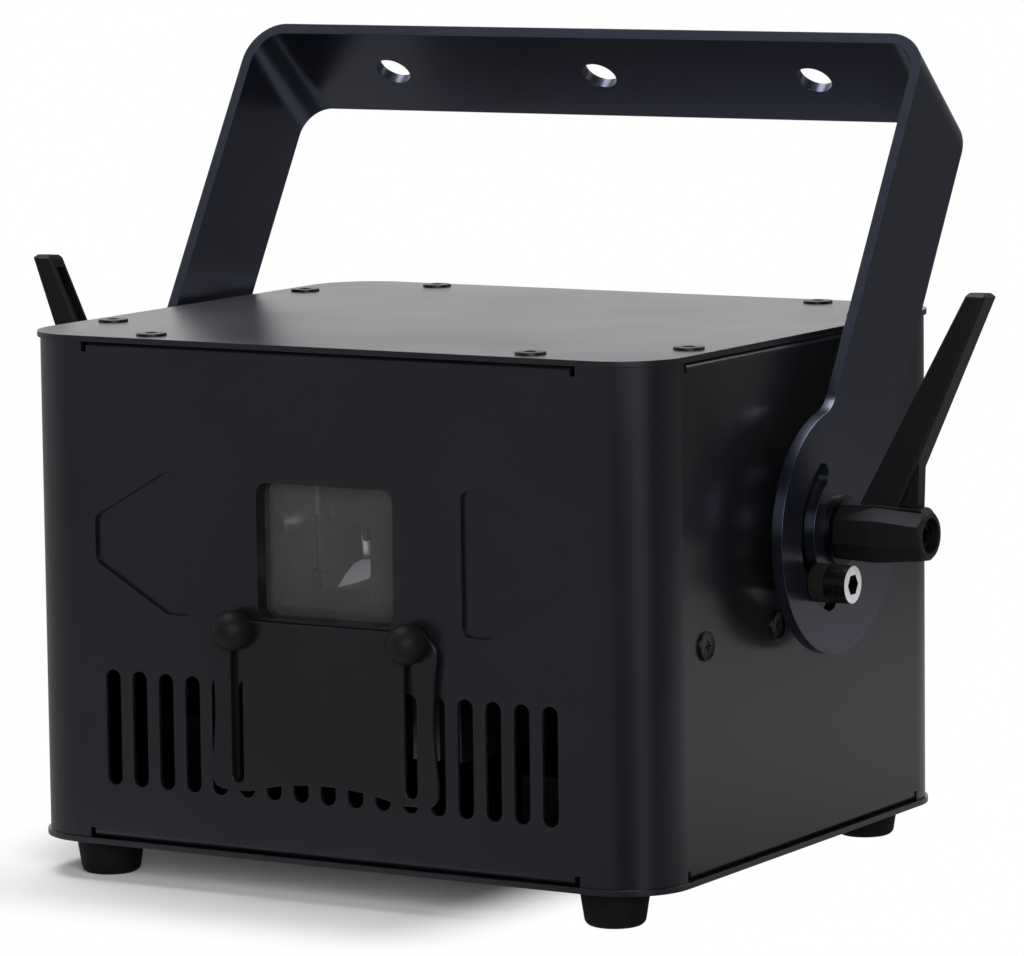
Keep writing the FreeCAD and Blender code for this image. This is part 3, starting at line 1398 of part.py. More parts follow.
def heat_sink():
    half = "(sink_width / 2)"
    y = (f"sink_front_gap - {front_face}", f"{fan_front} - sink_fan_gap")
    plate = block("sink_plate", (f"-{half}", half), y, (f"{bench_bottom} - sink_base", bench_bottom))
    fins = []
    for number in range(int(measure("sink_fin_count"))):
        start = f"(-{half} + {number} * (sink_width - sink_fin) / (sink_fin_count - 1))"
        fins.append(block("sink_blade", (start, f"{start} + sink_fin"), y,
                          (f"{bench_bottom} - sink_base - sink_fin_depth", f"{bench_bottom} - sink_base")))
    return join("sink", [plate] + fins)


board_width = f"({side_face} - board_side - board_offset)"
board_length = "((case_depth - board_front_gap - board_rear_gap - board_gap) / 2)"
first_board = f"(board_front_gap - {front_face})"
BOARD_STARTS = {"scanner_driver_board": first_board,
                "control_board": f"({first_board} + {board_length} + board_gap)"}
board_bottom = f"({base_top} + standoff_height)"


def standoff_places(start):
    across = ("board_offset + standoff_inset", f"board_offset + {board_width} - standoff_inset")
    along = (f"{start} + standoff_inset", f"{start} + {board_length} - standoff_inset")
    return [(x, y) for x in across for y in along]


def board(name, start, shares):
    """A circuit board with its larger components, given as shares of the board."""
    x = ("board_offset", f"board_offset + {board_width}")
    slab = block(name + "_slab", x, (start, f"{start} + {board_length}"),
                 (board_bottom, f"{board_bottom} + board_thickness"))
    parts = [slab]
    for left, near, wide, deep, tall in shares:
        low_x = f"board_offset + {left} * {board_width}"
        low_y = f"{start} + {near} * {board_length}"
        parts.append(block(name + "_part", (low_x, f"{low_x} + {wide} * {board_width}"),
                           (low_y, f"{low_y} + {deep} * {board_length}"),
                           (f"{board_bottom} + board_thickness",
                            f"{board_bottom} + board_thickness + {tall} * standoff_height")))
    return join(name, parts)


DRIVER_SHARES = [(0.12, 0.15, 0.30, 0.12, 1.6), (0.55, 0.15, 0.30, 0.12, 1.6), (0.2, 0.45, 0.2, 0.2, 0.4),
                 (0.6, 0.6, 0.2, 0.2, 1.1)]
CONTROL_SHARES = [(0.35, 0.35, 0.3, 0.25, 0.3), (0.12, 0.7, 0.2, 0.18, 1.0), (0.68, 0.1, 0.2, 0.3, 0.6),
                  (0.4, 0.75, 0.4, 0.12, 0.8)]
publish(power_supply(), "power_supply")
publish(heat_sink(), "heat_sink")
for (label, start), shares in zip(BOARD_STARTS.items(), (DRIVER_SHARES, CONTROL_SHARES)):
    publish(board(label + "_built", start, shares), label)
standoff = rod("standoff_master", "z", "standoff_radius", "0", "standoff_height")
standoff_spots = [((x, y, base_top), UPRIGHT)
                  for start in BOARD_STARTS.values() for x, y in standoff_places(start)]
publish(copies("standoff_group", standoff, standoff_spots), "board_standoffs")

# Fan behind the rear panel, and its rotor
fan_rear = panel_inner
fan_square = (f"{fan_x} - fan_size / 2", f"{fan_x} + fan_size / 2")
fan_height = ("fan_level - fan_size / 2", "fan_level + fan_size / 2")
spoke_depth = (f"{fan_front}", f"{fan_front} + fan_spoke_depth")


def fan_frame():
    blank = block("fan_blank", fan_square, (fan_front, fan_rear), fan_height)
    blank = soften("fan_blank_round", blank, "fan_corner", runs("y"))
    hollow = cut("fan_shell", blank,
                 [rod("fan_bore", "y", "fan_bore_radius", f"{fan_front} - overrun", f"{fan_rear} + overrun",
                      x=fan_x, z="fan_level")])
    plate = rod("fan_motor_plate", "y", "fan_hub_radius", *spoke_depth, x=fan_x, z="fan_level")
    axle = rod("fan_axle", "y", "fan_axle_radius", fan_front, f"{fan_rear} - fan_spoke_depth", x=fan_x,
               z="fan_level")
    level = block("fan_spoke_level", fan_square, spoke_depth,
                  ("fan_level - fan_spoke / 2", "fan_level + fan_spoke / 2"))
    upright = block("fan_spoke_upright", (f"{fan_x} - fan_spoke / 2", f"{fan_x} + fan_spoke / 2"), spoke_depth,
                    fan_height)
    return join("fan_frame_whole", [hollow, plate, axle, level, upright])


def fan_rotor():
    depth = (f"{fan_front} + fan_spoke_depth + fan_blade_gap", f"{fan_rear} - fan_blade_gap")
    core = rod("rotor_core", "y", "fan_hub_radius", *depth)
    tip = "(fan_bore_radius - fan_blade_gap)"
    blade = block("rotor_blade", ("fan_hub_radius / 2", tip), ("-fan_blade_chord / 2", "fan_blade_chord / 2"),
                  ("-fan_blade_thickness / 2", "fan_blade_thickness / 2"))
    tilt = FreeCAD.Rotation(X_AXIS, measure("fan_blade_pitch"))
    count = int(measure("fan_blade_count"))
    middle_y = f"({depth[0]} + {depth[1]}) / 2"
    spots = []
    for number in range(count):
        around = FreeCAD.Rotation(Y_AXIS, number * 4 * QUARTER_ANGLE / count)
        spots.append((("0", middle_y, "0"), around.multiply(tilt)))
    blades = copies("rotor_blades", blade, spots)
    swept = doc.addObject("Part::MultiCommon", "rotor_swept")
    swept.Shapes = [blades, rod("rotor_reach", "y", tip, *depth)]
    whole = join("rotor_whole", [core, swept])
    bore = rod("rotor_bore", "y", "fan_axle_radius + running_clearance", f"{depth[0]} - overrun",
               f"{fan_rear} - fan_spoke_depth + fan_blade_gap")
    return place(cut("rotor_cut", whole, [bore]), fan_x, z="fan_level")


publish(fan_frame(), "fan_frame")
publish(fan_rotor(), "fan_rotor")


# Power inlet moulding with a mains socket below and a rocker above
def power_inlet():
    x = lambda half: (f"-{inlet_x} - {half}", f"-{inlet_x} + {half}")
    z = lambda level, half: (f"{level} - {half}", f"{level} + {half}")
    flange_end = f"({panel_outer} + inlet_flange)"
    flange = block("inlet_flange_plate", x("inlet_width / 2"), (panel_outer, flange_end),
                   z("inlet_level", "inlet_height / 2"))
    flange = soften("inlet_flange_round", flange, "inlet_rim / 2", runs("y"))
    body = block("inlet_body", x(f"{inlet_body_width} / 2"), (f"{flange_end} - inlet_depth", panel_outer),
                 z("inlet_level", f"{inlet_body_height} / 2"))
    whole = join("inlet_blank", [flange, body])
    mouth = (f"{flange_end} - socket_depth", f"{flange_end} + overrun")
    socket = block("inlet_socket", x("socket_width / 2"), mouth, z(inlet_socket_level, "socket_height / 2"))
    well = (f"{flange_end} - rocker_depth - rocker_rise", f"{flange_end} + overrun")
    seat = block("rocker_well", x("(rocker_width / 2 + sliding_gap)"), well, z(inlet_rocker_level, rocker_room))
    reach = "(rocker_width / 2 + 2 * sliding_gap + rocker_axle_radius)"
    axle_y = f"({flange_end} - rocker_depth / 2)"
    pivot = rod("rocker_pivot_hole", "x", "rocker_axle_radius + running_clearance", f"-{inlet_x} - {reach}",
                f"-{inlet_x} + {reach}", y=axle_y, z=inlet_rocker_level)
    hollow = cut("inlet_hollow", whole, [socket, seat, pivot])
    pins = []
    for across, rise in (("-pin_spread", "-pin_stagger"), ("0", "pin_stagger"), ("pin_spread", "-pin_stagger")):
        centre = f"(-{inlet_x} + {across})"
        level = f"({inlet_socket_level} + {rise})"
        pins.append(block("inlet_pin", (f"{centre} - pin_width / 2", f"{centre} + pin_width / 2"),
                          (mouth[0] + " - overrun", f"{flange_end} - pin_recess"), z(level, "pin_height / 2")))
    return join("inlet_whole", [hollow] + pins)


def power_rocker():
    """A rocker with a vee-shaped face, about its axle."""
    half, rise = "(rocker_height / 2)", "rocker_rise"
    face = "(rocker_depth / 2)"
    back = "(rocker_depth / 2 - 2 * sliding_gap)"
    points = [(f"{half} - rocker_rise", f"-{back}"), (half, face), ("0", f"{face} + {rise} / 2"),
              (f"-{half}", f"{face} + {rise}"), (f"-{half} + rocker_rise", f"-{back}")]
    prism = padded("rocker_prism", "YZ_Plane", "-rocker_width / 2", "rocker_width",
                   [[(up, across) for across, up in points]])
    reach = "(rocker_width / 2 + sliding_gap + rocker_axle_radius)"
    axle = rod("rocker_axle", "x", "rocker_axle_radius", f"-{reach}", reach)
    whole = join("rocker_whole", [prism, axle])
    return place(whole, f"-{inlet_x}", f"{panel_outer} + inlet_flange - rocker_depth / 2", inlet_rocker_level)


publish(power_inlet(), "power_inlet")
publish(power_rocker(), "power_rocker")

# Key switch and key
key_face = f"({panel_outer} + key_flange)"


def key_switch():
    collar = rod("key_collar", "y", "key_flange_radius", panel_outer, key_face)
    barrel = rod("key_barrel", "y", "key_body_radius", f"{key_face} - key_body_depth", panel_outer)
    bore = rod("key_bore", "y", "key_plug_radius + running_clearance", f"{key_face} - key_plug_depth",
               f"{key_face} + overrun")
    return place(cut("key_switch_bored", join("key_switch_blank", [collar, barrel]), [bore]), key_x,
                 "0", key_level)


def key():
    """The turning plug with the key in it."""
    plug = rod("key_plug", "y", "key_plug_radius", f"{key_face} - key_plug_depth + sliding_gap", key_face)
    thin = ("-key_bow_thickness / 2", "key_bow_thickness / 2")
    bow_level = f"{key_face} + key_reach - key_bow_radius"
    neck = block("key_neck", thin, (f"{key_face} - sliding_gap", bow_level),
                 ("-key_neck_width / 2", "key_neck_width / 2"))
    bow = rod("key_bow", "x", "key_bow_radius", *thin, y=bow_level)
    trim = block("key_trim", ("-key_flange_radius", "key_flange_radius"),
                 (f"{key_face} - key_flange_radius", f"{key_face} + sliding_gap"),
                 ("-key_flange_radius", "key_flange_radius"))
    hole = rod("key_hole", "x", "key_ring_radius", "-key_bow_thickness", "key_bow_thickness",
               y=f"{bow_level} + key_bow_radius / 2")
    bow = cut("key_bow_cut", bow, [trim, hole])
    return place(join("key_whole", [plug, neck, bow]), key_x, "0", key_level)


publish(key_switch(), "key_switch")
publish(key(), "key")


# Control sockets, interlock socket and emission lamp
def control_socket():
    width, height = "control_shell_width", "control_shell_height"
    half, tall = "(control_flange_width / 2)", "(control_flange_height / 2)"
    flange = block("control_plate", (f"-{half}", half), (panel_outer, f"{panel_outer} + control_flange"),
                   (f"-{tall}", tall))
    points = [(f"-{width} / 2", f"{height} / 2"), (f"{width} / 2", f"{height} / 2"),
              (f"{width} / 2 - control_slope", f"-{height} / 2"), (f"-{width} / 2 + control_slope",
                                                                   f"-{height} / 2")]
    length = "control_shell_length + control_body_depth"
    shell = padded("control_shell", "XZ_Plane", f"-({panel_outer} + control_shell_length)", length, [points])
    return join("control_master", [flange, shell])


def lock_socket():
    half, tall = "(lock_flange_width / 2)", "(lock_flange_height / 2)"
    face = f"({panel_outer} + lock_flange)"
    flange = block("lock_plate", (f"-{half}", half), (panel_outer, face), (f"-{tall}", tall))
    flange = soften("lock_plate_round", flange, "lock_flange", runs("y"))
    body = rod("lock_body", "y", "lock_body_radius", f"{face} - lock_body_depth", panel_outer)
    bore = rod("lock_bore", "y", "lock_bore_radius", f"{face} - lock_bore_depth", f"{face} + overrun")
    hollow = cut("lock_hollow", join("lock_blank", [flange, body]), [bore])
    pins = []
    for angle in LOCK_PIN_ANGLES:
        pins.append(rod("lock_pin", "y", "lock_pin_radius", f"{face} - lock_bore_depth - overrun",
                        f"{face} - lock_flange",
                        x=f"lock_pin_circle * cos({angle})", z=f"lock_pin_circle * sin({angle})"))
    return place(join("lock_whole", [hollow] + pins), lock_x, "0", lock_level)


def emission_lamp():
    bezel = rod("lamp_bezel", "y", "lamp_flange_radius", panel_outer, f"{panel_outer} + lamp_flange")
    stem = rod("lamp_stem", "y", "lamp_radius", f"{panel_outer} - lamp_depth", panel_outer)
    lens = rod("lamp_lens", "y", "lamp_radius", panel_outer, f"{panel_outer} + 2 * lamp_flange")
    return place(join("lamp_whole", [bezel, stem, lens]), f"-{lamp_x}", "0", lamp_level)


control_spots = [(("0", "0", level), UPRIGHT) for level in control_levels]
publish(copies("control_group", control_socket(), control_spots), "control_sockets")
publish(lock_socket(), "interlock_socket")
publish(emission_lamp(), "emission_lamp")

# Check everything, then write one file per sub-part
doc.recompute()
failed = [feature.Label for feature in doc.Objects if {"Invalid", "Error"} & set(feature.State)]
for piece in pieces:
    if piece.Shape.isNull() or not piece.Shape.isValid() or not piece.Shape.Solids:
        failed.append(piece.Label)
if failed:
    raise RuntimeError("failed features: " + ", ".join(failed))
os.makedirs("parts", exist_ok=True)
for piece in pieces:
    piece.Shape.exportStep(f"parts/{piece.Label}.step")
    print(piece.Label, len(piece.Shape.Solids), round(piece.Shape.Volume, 1))
print(len(pieces), "sub-parts")
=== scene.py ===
# %% [markdown]
# A laser show projector is a sheet-metal box that throws beams through a window in its front. It stands on
# four rubber feet or hangs from a yoke, a bent steel stirrup that tilts and is locked by two clamp levers.
# The measured solids come in as a fixed frame, and this lesson gives them their finish.

# %% Load the measured frame
import json
import math

import bmesh
import bpy
from mathutils import Matrix, Vector


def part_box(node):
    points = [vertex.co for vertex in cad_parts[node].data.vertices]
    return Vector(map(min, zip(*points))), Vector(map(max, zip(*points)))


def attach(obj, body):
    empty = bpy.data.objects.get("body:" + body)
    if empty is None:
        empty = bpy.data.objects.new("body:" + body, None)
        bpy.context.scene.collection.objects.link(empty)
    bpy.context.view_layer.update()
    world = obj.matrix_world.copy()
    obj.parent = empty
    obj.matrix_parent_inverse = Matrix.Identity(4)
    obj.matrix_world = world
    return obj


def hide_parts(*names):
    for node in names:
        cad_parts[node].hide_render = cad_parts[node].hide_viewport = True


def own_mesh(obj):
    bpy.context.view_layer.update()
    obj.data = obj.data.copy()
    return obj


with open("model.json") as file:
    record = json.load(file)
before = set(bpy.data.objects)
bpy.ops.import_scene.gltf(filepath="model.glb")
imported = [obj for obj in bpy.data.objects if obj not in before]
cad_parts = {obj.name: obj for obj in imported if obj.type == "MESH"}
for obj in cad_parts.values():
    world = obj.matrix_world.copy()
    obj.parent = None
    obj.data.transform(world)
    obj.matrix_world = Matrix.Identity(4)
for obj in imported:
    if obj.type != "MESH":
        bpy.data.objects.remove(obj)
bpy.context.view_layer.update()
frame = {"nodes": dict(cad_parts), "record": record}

solids = frame["nodes"]
bpy.ops.object.select_all(action="DESELECT")

# %% [markdown]
# The camera comes first, because every later choice is judged through it. It stands low, right of the front,
# and far away with a long lens, so that the box hardly tapers. Its place is written as a spot, two angles
# and a small roll, as a photographer would note it.

# %% Camera
SENSOR_WIDTH = 36
LENS = 200.7
CAMERA_SPOT = Vector((1.0218, -1.6986, 0.383))
CAMERA_TURN = math.radians(30.79)
CAMERA_TIP = math.radians(7.195)
CAMERA_ROLL = math.radians(-0.698)
CAMERA_REACH = 30
backwards = Vector((math.sin(CAMERA_TURN) * math.cos(CAMERA_TIP),
                    -math.cos(CAMERA_TURN) * math.cos(CAMERA_TIP), math.sin(CAMERA_TIP)))
level = Vector((math.cos(CAMERA_TURN), math.sin(CAMERA_TURN), 0))
upright = backwards.cross(level)
sideways = level * math.cos(CAMERA_ROLL) + upright * math.sin(CAMERA_ROLL)
upwards = upright * math.cos(CAMERA_ROLL) - level * math.sin(CAMERA_ROLL)
bpy.ops.object.camera_add()
camera = bpy.context.object
camera.name = "portrait_camera"
camera.data.sensor_fit = "HORIZONTAL"
camera.data.sensor_width = SENSOR_WIDTH
camera.data.lens = LENS
camera.data.clip_end = CAMERA_REACH
camera_axes = Matrix((sideways, upwards, backwards)).transposed()
camera.matrix_world = Matrix.Translation(CAMERA_SPOT) @ camera_axes.to_4x4()
bpy.context.scene.camera = camera
print("camera", LENS, "mm, at", tuple(CAMERA_SPOT))

# %% [markdown]
# Every finish is a small node tree. These helpers keep the trees short: one starts a material with its
# surface shader, one adds a node and fills its sockets, one adds a sum, and one reads the object's own
# coordinates, so a pattern stays on its piece when the piece moves.

# %% Helpers for materials
RAMP_START, RAMP_END = 0.3, 0.7
finishes = {}


def start_finish(name):
    made = bpy.data.materials.new(name + "_finish")
    made.use_nodes = True
    finishes[name] = made
    return made, made.node_tree, made.node_tree.nodes["Principled BSDF"]


def add(tree, kind, **sockets):
    node = tree.nodes.new(kind)
    for socket, value in sockets.items():
        node.inputs[socket.replace("_", " ")].default_value = value
    return node


def reckon(tree, operation, *terms, kind="ShaderNodeMath", result="Value"):
    """A sum of sockets and plain values."""
    node = tree.nodes.new(kind)
    node.operation = operation
    for socket, term in zip(node.inputs, terms):
        if isinstance(term, (int, float, tuple)):
            socket.default_value = term
        else:
            tree.links.new(term, socket)
    return node.outputs[result]


def place_of(tree, stretch=(1, 1, 1)):
    coordinates = tree.nodes.new("ShaderNodeTexCoord")
    mapping = add(tree, "ShaderNodeMapping", Scale=stretch)
    tree.links.new(coordinates.outputs["Object"], mapping.inputs["Vector"])
    return mapping.outputs["Vector"]


def noise(tree, scale, detail=3.0, stretch=(1, 1, 1)):
    texture = add(tree, "ShaderNodeTexNoise", Scale=scale, Detail=detail)
    tree.links.new(place_of(tree, stretch), texture.inputs["Vector"])
    return texture.outputs["Fac"]


def shade(tree, amount, low, high):
    """A ramp from one colour to another."""
    ramp = tree.nodes.new("ShaderNodeValToRGB")
    ramp.color_ramp.elements[0].position = RAMP_START
    ramp.color_ramp.elements[1].position = RAMP_END
    ramp.color_ramp.elements[0].color = (*low, 1)
    ramp.color_ramp.elements[1].color = (*high, 1)
    tree.links.new(amount, ramp.inputs["Fac"])
    return ramp.outputs["Color"]


def spread(tree, amount, low, high):
    """A number that runs from low to high."""
    band = add(tree, "ShaderNodeMapRange", From_Min=RAMP_START, From_Max=RAMP_END, To_Min=low,
               To_Max=high)
    tree.links.new(amount, band.inputs["Value"])
    return band.outputs["Result"]


def raise_surface(tree, shader, height, depth):
    bump = add(tree, "ShaderNodeBump", Strength=1.0, Distance=depth)
    tree.links.new(height, bump.inputs["Height"])
    tree.links.new(bump.outputs["Normal"], shader.inputs["Normal"])


# %% [markdown]
# Powder coat is a plastic skin, baked on. Close up it has a fine orange peel, and the sheen changes a little
# from place to place. Two noises do it: a fine one lifts the surface, a broad one moves colour and gloss. The
# black has a little blue in it, which tints its sheen.

# %% Coats, plastics and rubber
BLUE_BLACK = (0.87, 0.87, 1.0)
DEEP_BLUE_BLACK = (0.62, 0.7, 1.0)
PLAIN_SHEEN = (1.0, 1.0, 1.0)
SHEEN_CHANGE = 0.02
BROAD_SCALE = 18.0


def coat(name, dark, light, gloss, grain, depth, specular, tint=PLAIN_SHEEN, mottle=BROAD_SCALE):
    tree, shader = start_finish(name)[1:]
    broad = noise(tree, mottle, 4)
    tree.links.new(shade(tree, broad, dark, light), shader.inputs["Base Color"])
    sheen = spread(tree, broad, gloss - SHEEN_CHANGE, gloss + SHEEN_CHANGE)
    tree.links.new(sheen, shader.inputs["Roughness"])
    raise_surface(tree, shader, noise(tree, grain, 2), depth)
    shader.inputs["Specular IOR Level"].default_value = specular
    shader.inputs["Specular Tint"].default_value = (*tint, 1)


# Each row: name, darker and lighter colour, roughness, grain, depth of the grain, sheen, tint of the sheen
COATS = [
    ("case_paint", (0.0066, 0.0067, 0.0085), (0.0084, 0.0085, 0.0105), 0.25, 1500, 0.000004, 0.54,
     BLUE_BLACK),
    ("plate_paint", (0.006, 0.006, 0.008), (0.0075, 0.0075, 0.0098), 0.3, 1500, 0.000004, 0.58, BLUE_BLACK),
    ("yoke_paint", (0.0045, 0.005, 0.0078), (0.006, 0.0066, 0.01), 0.26, 1500, 0.000006, 0.98,
     DEEP_BLUE_BLACK),
    ("mask_paint", (0.0048, 0.0049, 0.0056), (0.0062, 0.0063, 0.007), 0.24, 1500, 0.000005, 0.52, BLUE_BLACK),
    ("lever_zinc", (0.0045, 0.0047, 0.0052), (0.006, 0.0063, 0.007), 0.52, 900, 0.00002, 0.22, BLUE_BLACK),
    ("foot_rubber", (0.003, 0.003, 0.0032), (0.0055, 0.0055, 0.0058), 0.75, 700, 0.00005, 0.2),
    ("knob_plastic", (0.006, 0.0064, 0.0068), (0.009, 0.0095, 0.01), 0.5, 300, 0.00001, 0.18, BLUE_BLACK),
    ("friction_fibre", (0.006, 0.0055, 0.005), (0.014, 0.013, 0.012), 0.7, 2500, 0.00005, 0.2),
    ("fan_plastic", (0.012, 0.012, 0.013), (0.02, 0.02, 0.021), 0.45, 900, 0.00002, 0.5),
    ("socket_plastic", (0.011, 0.011, 0.012), (0.018, 0.018, 0.019), 0.4, 1100, 0.00002, 0.5),
    ("rocker_plastic", (0.012, 0.012, 0.013), (0.017, 0.017, 0.018), 0.25, 500, 0.00001, 0.5)]
for row in COATS:
    coat(*row)
print(len(COATS), "coats and plastics made")

# %% [markdown]
# Bare metal shows how it was worked. Rolled, turned and milled faces have long fine lines, so their noise is
# stretched along one axis. The bright steel is only partly a metal. The rest of it is a pale colour that
# scatters light like paint, a painted highlight on the chamfered ends of the stop caps as well as bare metal.

# %% Metals
POLISH_CHANGE = 0.07
EVEN = (1, 1, 1)


def metal(name, dark, light, gloss, grain, stretch, depth, metallic=1.0):
    tree, shader = start_finish(name)[1:]
    lines = noise(tree, grain, 4, stretch)
    tree.links.new(shade(tree, lines, dark, light), shader.inputs["Base Color"])
    polish = spread(tree, lines, gloss - POLISH_CHANGE, gloss + POLISH_CHANGE)
    tree.links.new(polish, shader.inputs["Roughness"])
    raise_surface(tree, shader, lines, depth)
    shader.inputs["Metallic"].default_value = metallic


# Each row: name, darker colour, lighter colour, roughness, grain, its stretch and depth, share of metal
METALS = [
    ("black_steel", (0.02, 0.02, 0.021), (0.05, 0.05, 0.052), 0.38, 900, EVEN, 0.00001),
    # The low share of metal and the pale colour of bright_steel give a painted highlight as well as bare
    # steel.
    ("bright_steel", (0.72, 0.71, 0.7), (0.84, 0.83, 0.82), 0.4, 500, (8, 1, 1), 0.000008, 0.3),
    ("bare_aluminium", (0.55, 0.56, 0.57), (0.68, 0.69, 0.7), 0.36, 260, (1, 12, 1), 0.00001),
    ("black_aluminium", (0.008, 0.008, 0.009), (0.016, 0.016, 0.018), 0.45, 500, (1, 6, 1), 0.00001),
    ("key_chrome", (0.62, 0.62, 0.63), (0.72, 0.72, 0.73), 0.14, 300, EVEN, 0.000003),
    ("supply_steel", (0.48, 0.48, 0.49), (0.54, 0.54, 0.55), 0.3, 420, (1, 1, 5), 0.000003)]
for row in METALS:
    metal(*row)
print(len(METALS), "metals made")

# %% [markdown]
# The window is thin flat glass that hardly bends the light, so it is a see-through shader with a faint grey
# veil, and the lamps reach what is behind it. The scanning mirrors there are bright glass under a pale grey
# coat, a painted reflection: the pale colour stands in for the light their silvering would throw back. The
# boards are dark laminate with faint tracks, and the lamp is a red lens. A few plated or bare pieces would
# shine through the vents and slots, so they get a black finish instead, a painted shade that keeps them as
# dark as the shade they sit in.

# %% Glass, mirror, board and lamp
GLASS_COVER = 0.12
TRACKS = {"Color1": (0.004, 0.007, 0.006, 1), "Color2": (0.005, 0.009, 0.007, 1),
          "Mortar": (0.009, 0.014, 0.011, 1)}


def clear_glass():
    tree, shader = start_finish("window_glass")[1:]
    haze = noise(tree, 60, 3)
    tree.links.new(spread(tree, haze, 0.02, 0.06), shader.inputs["Roughness"])
    # A faint grey veil is mixed into the glass colour.
    tree.links.new(shade(tree, haze, (0.24, 0.245, 0.25), (0.3, 0.305, 0.31)), shader.inputs["Base Color"])
    shader.inputs["Alpha"].default_value = GLASS_COVER


def board_laminate():
    tree, shader = start_finish("circuit_board")[1:]
    tracks = add(tree, "ShaderNodeTexBrick", Scale=160.0, **TRACKS)
    tree.links.new(place_of(tree), tracks.inputs["Vector"])
    tree.links.new(tracks.outputs["Color"], shader.inputs["Base Color"])
    tree.links.new(spread(tree, noise(tree, 90), 0.3, 0.45), shader.inputs["Roughness"])


clear_glass()
# The pale grey of the mirror coat is a painted reflection, in place of a mirror's shine.
coat("mirror_coating", (0.36, 0.37, 0.39), (0.48, 0.49, 0.51), 0.14, 40, 0.000001, 0.8, mottle=90)
board_laminate()
coat("lamp_plastic", (0.3, 0.012, 0.008), (0.45, 0.02, 0.012), 0.16, 300, 0.00001, 0.5)
# Painted shade: these parts get black in place of their own finish, so they stay as dark as the shade around
# them.
painted_shade_finishes = {"clamp_washers": "black_steel", "lever_stud_left": "black_steel",
             "lever_stud_right": "black_steel", "hub_screws": "lever_zinc", "power_supply": "black_aluminium",
             "optical_bench": "black_aluminium", "combiner_mirrors": "black_aluminium"}
for part in frame["record"]["subparts"]:
    for held in solids[part["node"]].material_slots:
        held.material = finishes[painted_shade_finishes.get(part["node"], part["material_slot"])]

# %% [markdown]
# The solids give the true shape, and some of them need what a factory adds: rolled edges, knurls, sockets.
# These helpers do the handwork. They select faces or edges by a test, draw faces out, apply a modifier, set
# out copies, join pieces, and give a piece its finish and the body it moves with.

# %% Helpers for modelling
NEAR = 1e-6
ALIGNED = 0.95


def choose(piece, kind, test):
    """In edit mode, select the faces or edges that pass a test."""
    bpy.ops.mesh.select_mode(type=kind)
    bpy.ops.mesh.select_all(action="DESELECT")
    mesh = bmesh.from_edit_mesh(piece.data)
    for part in (mesh.faces if kind == "FACE" else mesh.edges):
        part.select_set(test(part))
    mesh.select_flush_mode()
    bmesh.update_edit_mesh(piece.data)


def rim(height, radius):
    """A test for the edges of a circle at a height."""
    def test(edge):
        return all(abs(corner.co.z - height) < NEAR and corner.co.to_2d().length > radius
                   for corner in edge.verts)
    return test


def facing(direction, height=None):
    """A test for the faces that look in a direction."""
    def test(face):
        level = height is None or abs(face.calc_center_median().z - height) < NEAR
        return level and face.normal.dot(Vector(direction)) > ALIGNED
    return test


def alone(piece):
    bpy.ops.object.select_all(action="DESELECT")
    piece.select_set(True)
    bpy.context.view_layer.objects.active = piece


def draw_out(distance):
    """In edit mode, draw the selected faces out along Z."""
    bpy.ops.mesh.extrude_region_move(TRANSFORM_OT_translate={"value": (0, 0, distance)})


def settle(piece, spot, turn=(0, 0, 0)):
    """Turn and move a piece, then let its mesh keep the turn and the place."""
    alone(piece)
    piece.location = spot
    piece.rotation_euler = turn
    bpy.ops.object.transform_apply(location=True, rotation=True, scale=True)


def join_pieces(*pieces):
    alone(pieces[0])
    for piece in pieces:
        piece.select_set(True)
    bpy.ops.object.join()
    return bpy.context.object


def face_outwards(piece):
    """Turn every face of a piece to the outside."""
    alone(piece)
    bpy.ops.object.mode_set(mode="EDIT")
    bpy.ops.mesh.select_all(action="SELECT")
    bpy.ops.mesh.normals_make_consistent(inside=False)
    bpy.ops.object.mode_set(mode="OBJECT")


def apply_modifier(piece, kind, **settings):
    alone(piece)
    modifier = piece.modifiers.new(kind.lower(), kind)
    for setting, value in settings.items():
        setattr(modifier, setting, value)
    bpy.ops.object.modifier_apply(modifier=modifier.name)


def carve(piece, *tools):
    """Cut tools out of a piece, and remove them."""
    for tool in tools:
        apply_modifier(piece, "BOOLEAN", object=tool, operation="DIFFERENCE", solver="EXACT")
        bpy.data.objects.remove(tool)


def set_out(master, spots):
    """Copies of a master at their places and turns, joined into one piece."""
    copies = []
    for spot, turn in spots:
        alone(master)
        bpy.ops.object.duplicate()
        copy = bpy.context.object
        settle(copy, spot, turn)
        copies.append(copy)
    bpy.data.objects.remove(master)
    return join_pieces(*copies)


def enrol(piece, name, body, slot, node):
    """Name a piece, give it its finish, and let it ride in place of its solid."""
    piece.name = name
    piece.data.name = name
    if not piece.data.materials:
        piece.data.materials.append(finishes[slot])
    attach(piece, body)
    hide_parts(node)
    print(name, "has", len(piece.data.polygons), "faces")


def hand_over(piece, name, body, slot, node, smooth=30):
    """Smooth a modelled piece and enrol it."""
    alone(piece)
    bpy.ops.object.shade_smooth_by_angle(angle=math.radians(smooth))
    enrol(piece, name, body, slot, node)


# %% [markdown]
# The lid is held by button-head screws, low discs with a rolled shoulder and a small six-sided socket. A
# cylinder is the blank. Its upper rim is bevelled, its underside is inset and drawn out into the shank, and
# a six-sided prism cuts the socket. The sockets stand at different turns, as a hand leaves them.

# %% Button-head screws
BUTTON_HEAD, BUTTON_HEIGHT, BUTTON_SHANK, BUTTON_LENGTH = 0.00525, 0.0009, 0.003, 0.009
BUTTON_ROLL, BUTTON_SOCKET, BUTTON_SOCKET_DEPTH = 0.0004, 0.0023, 0.0012


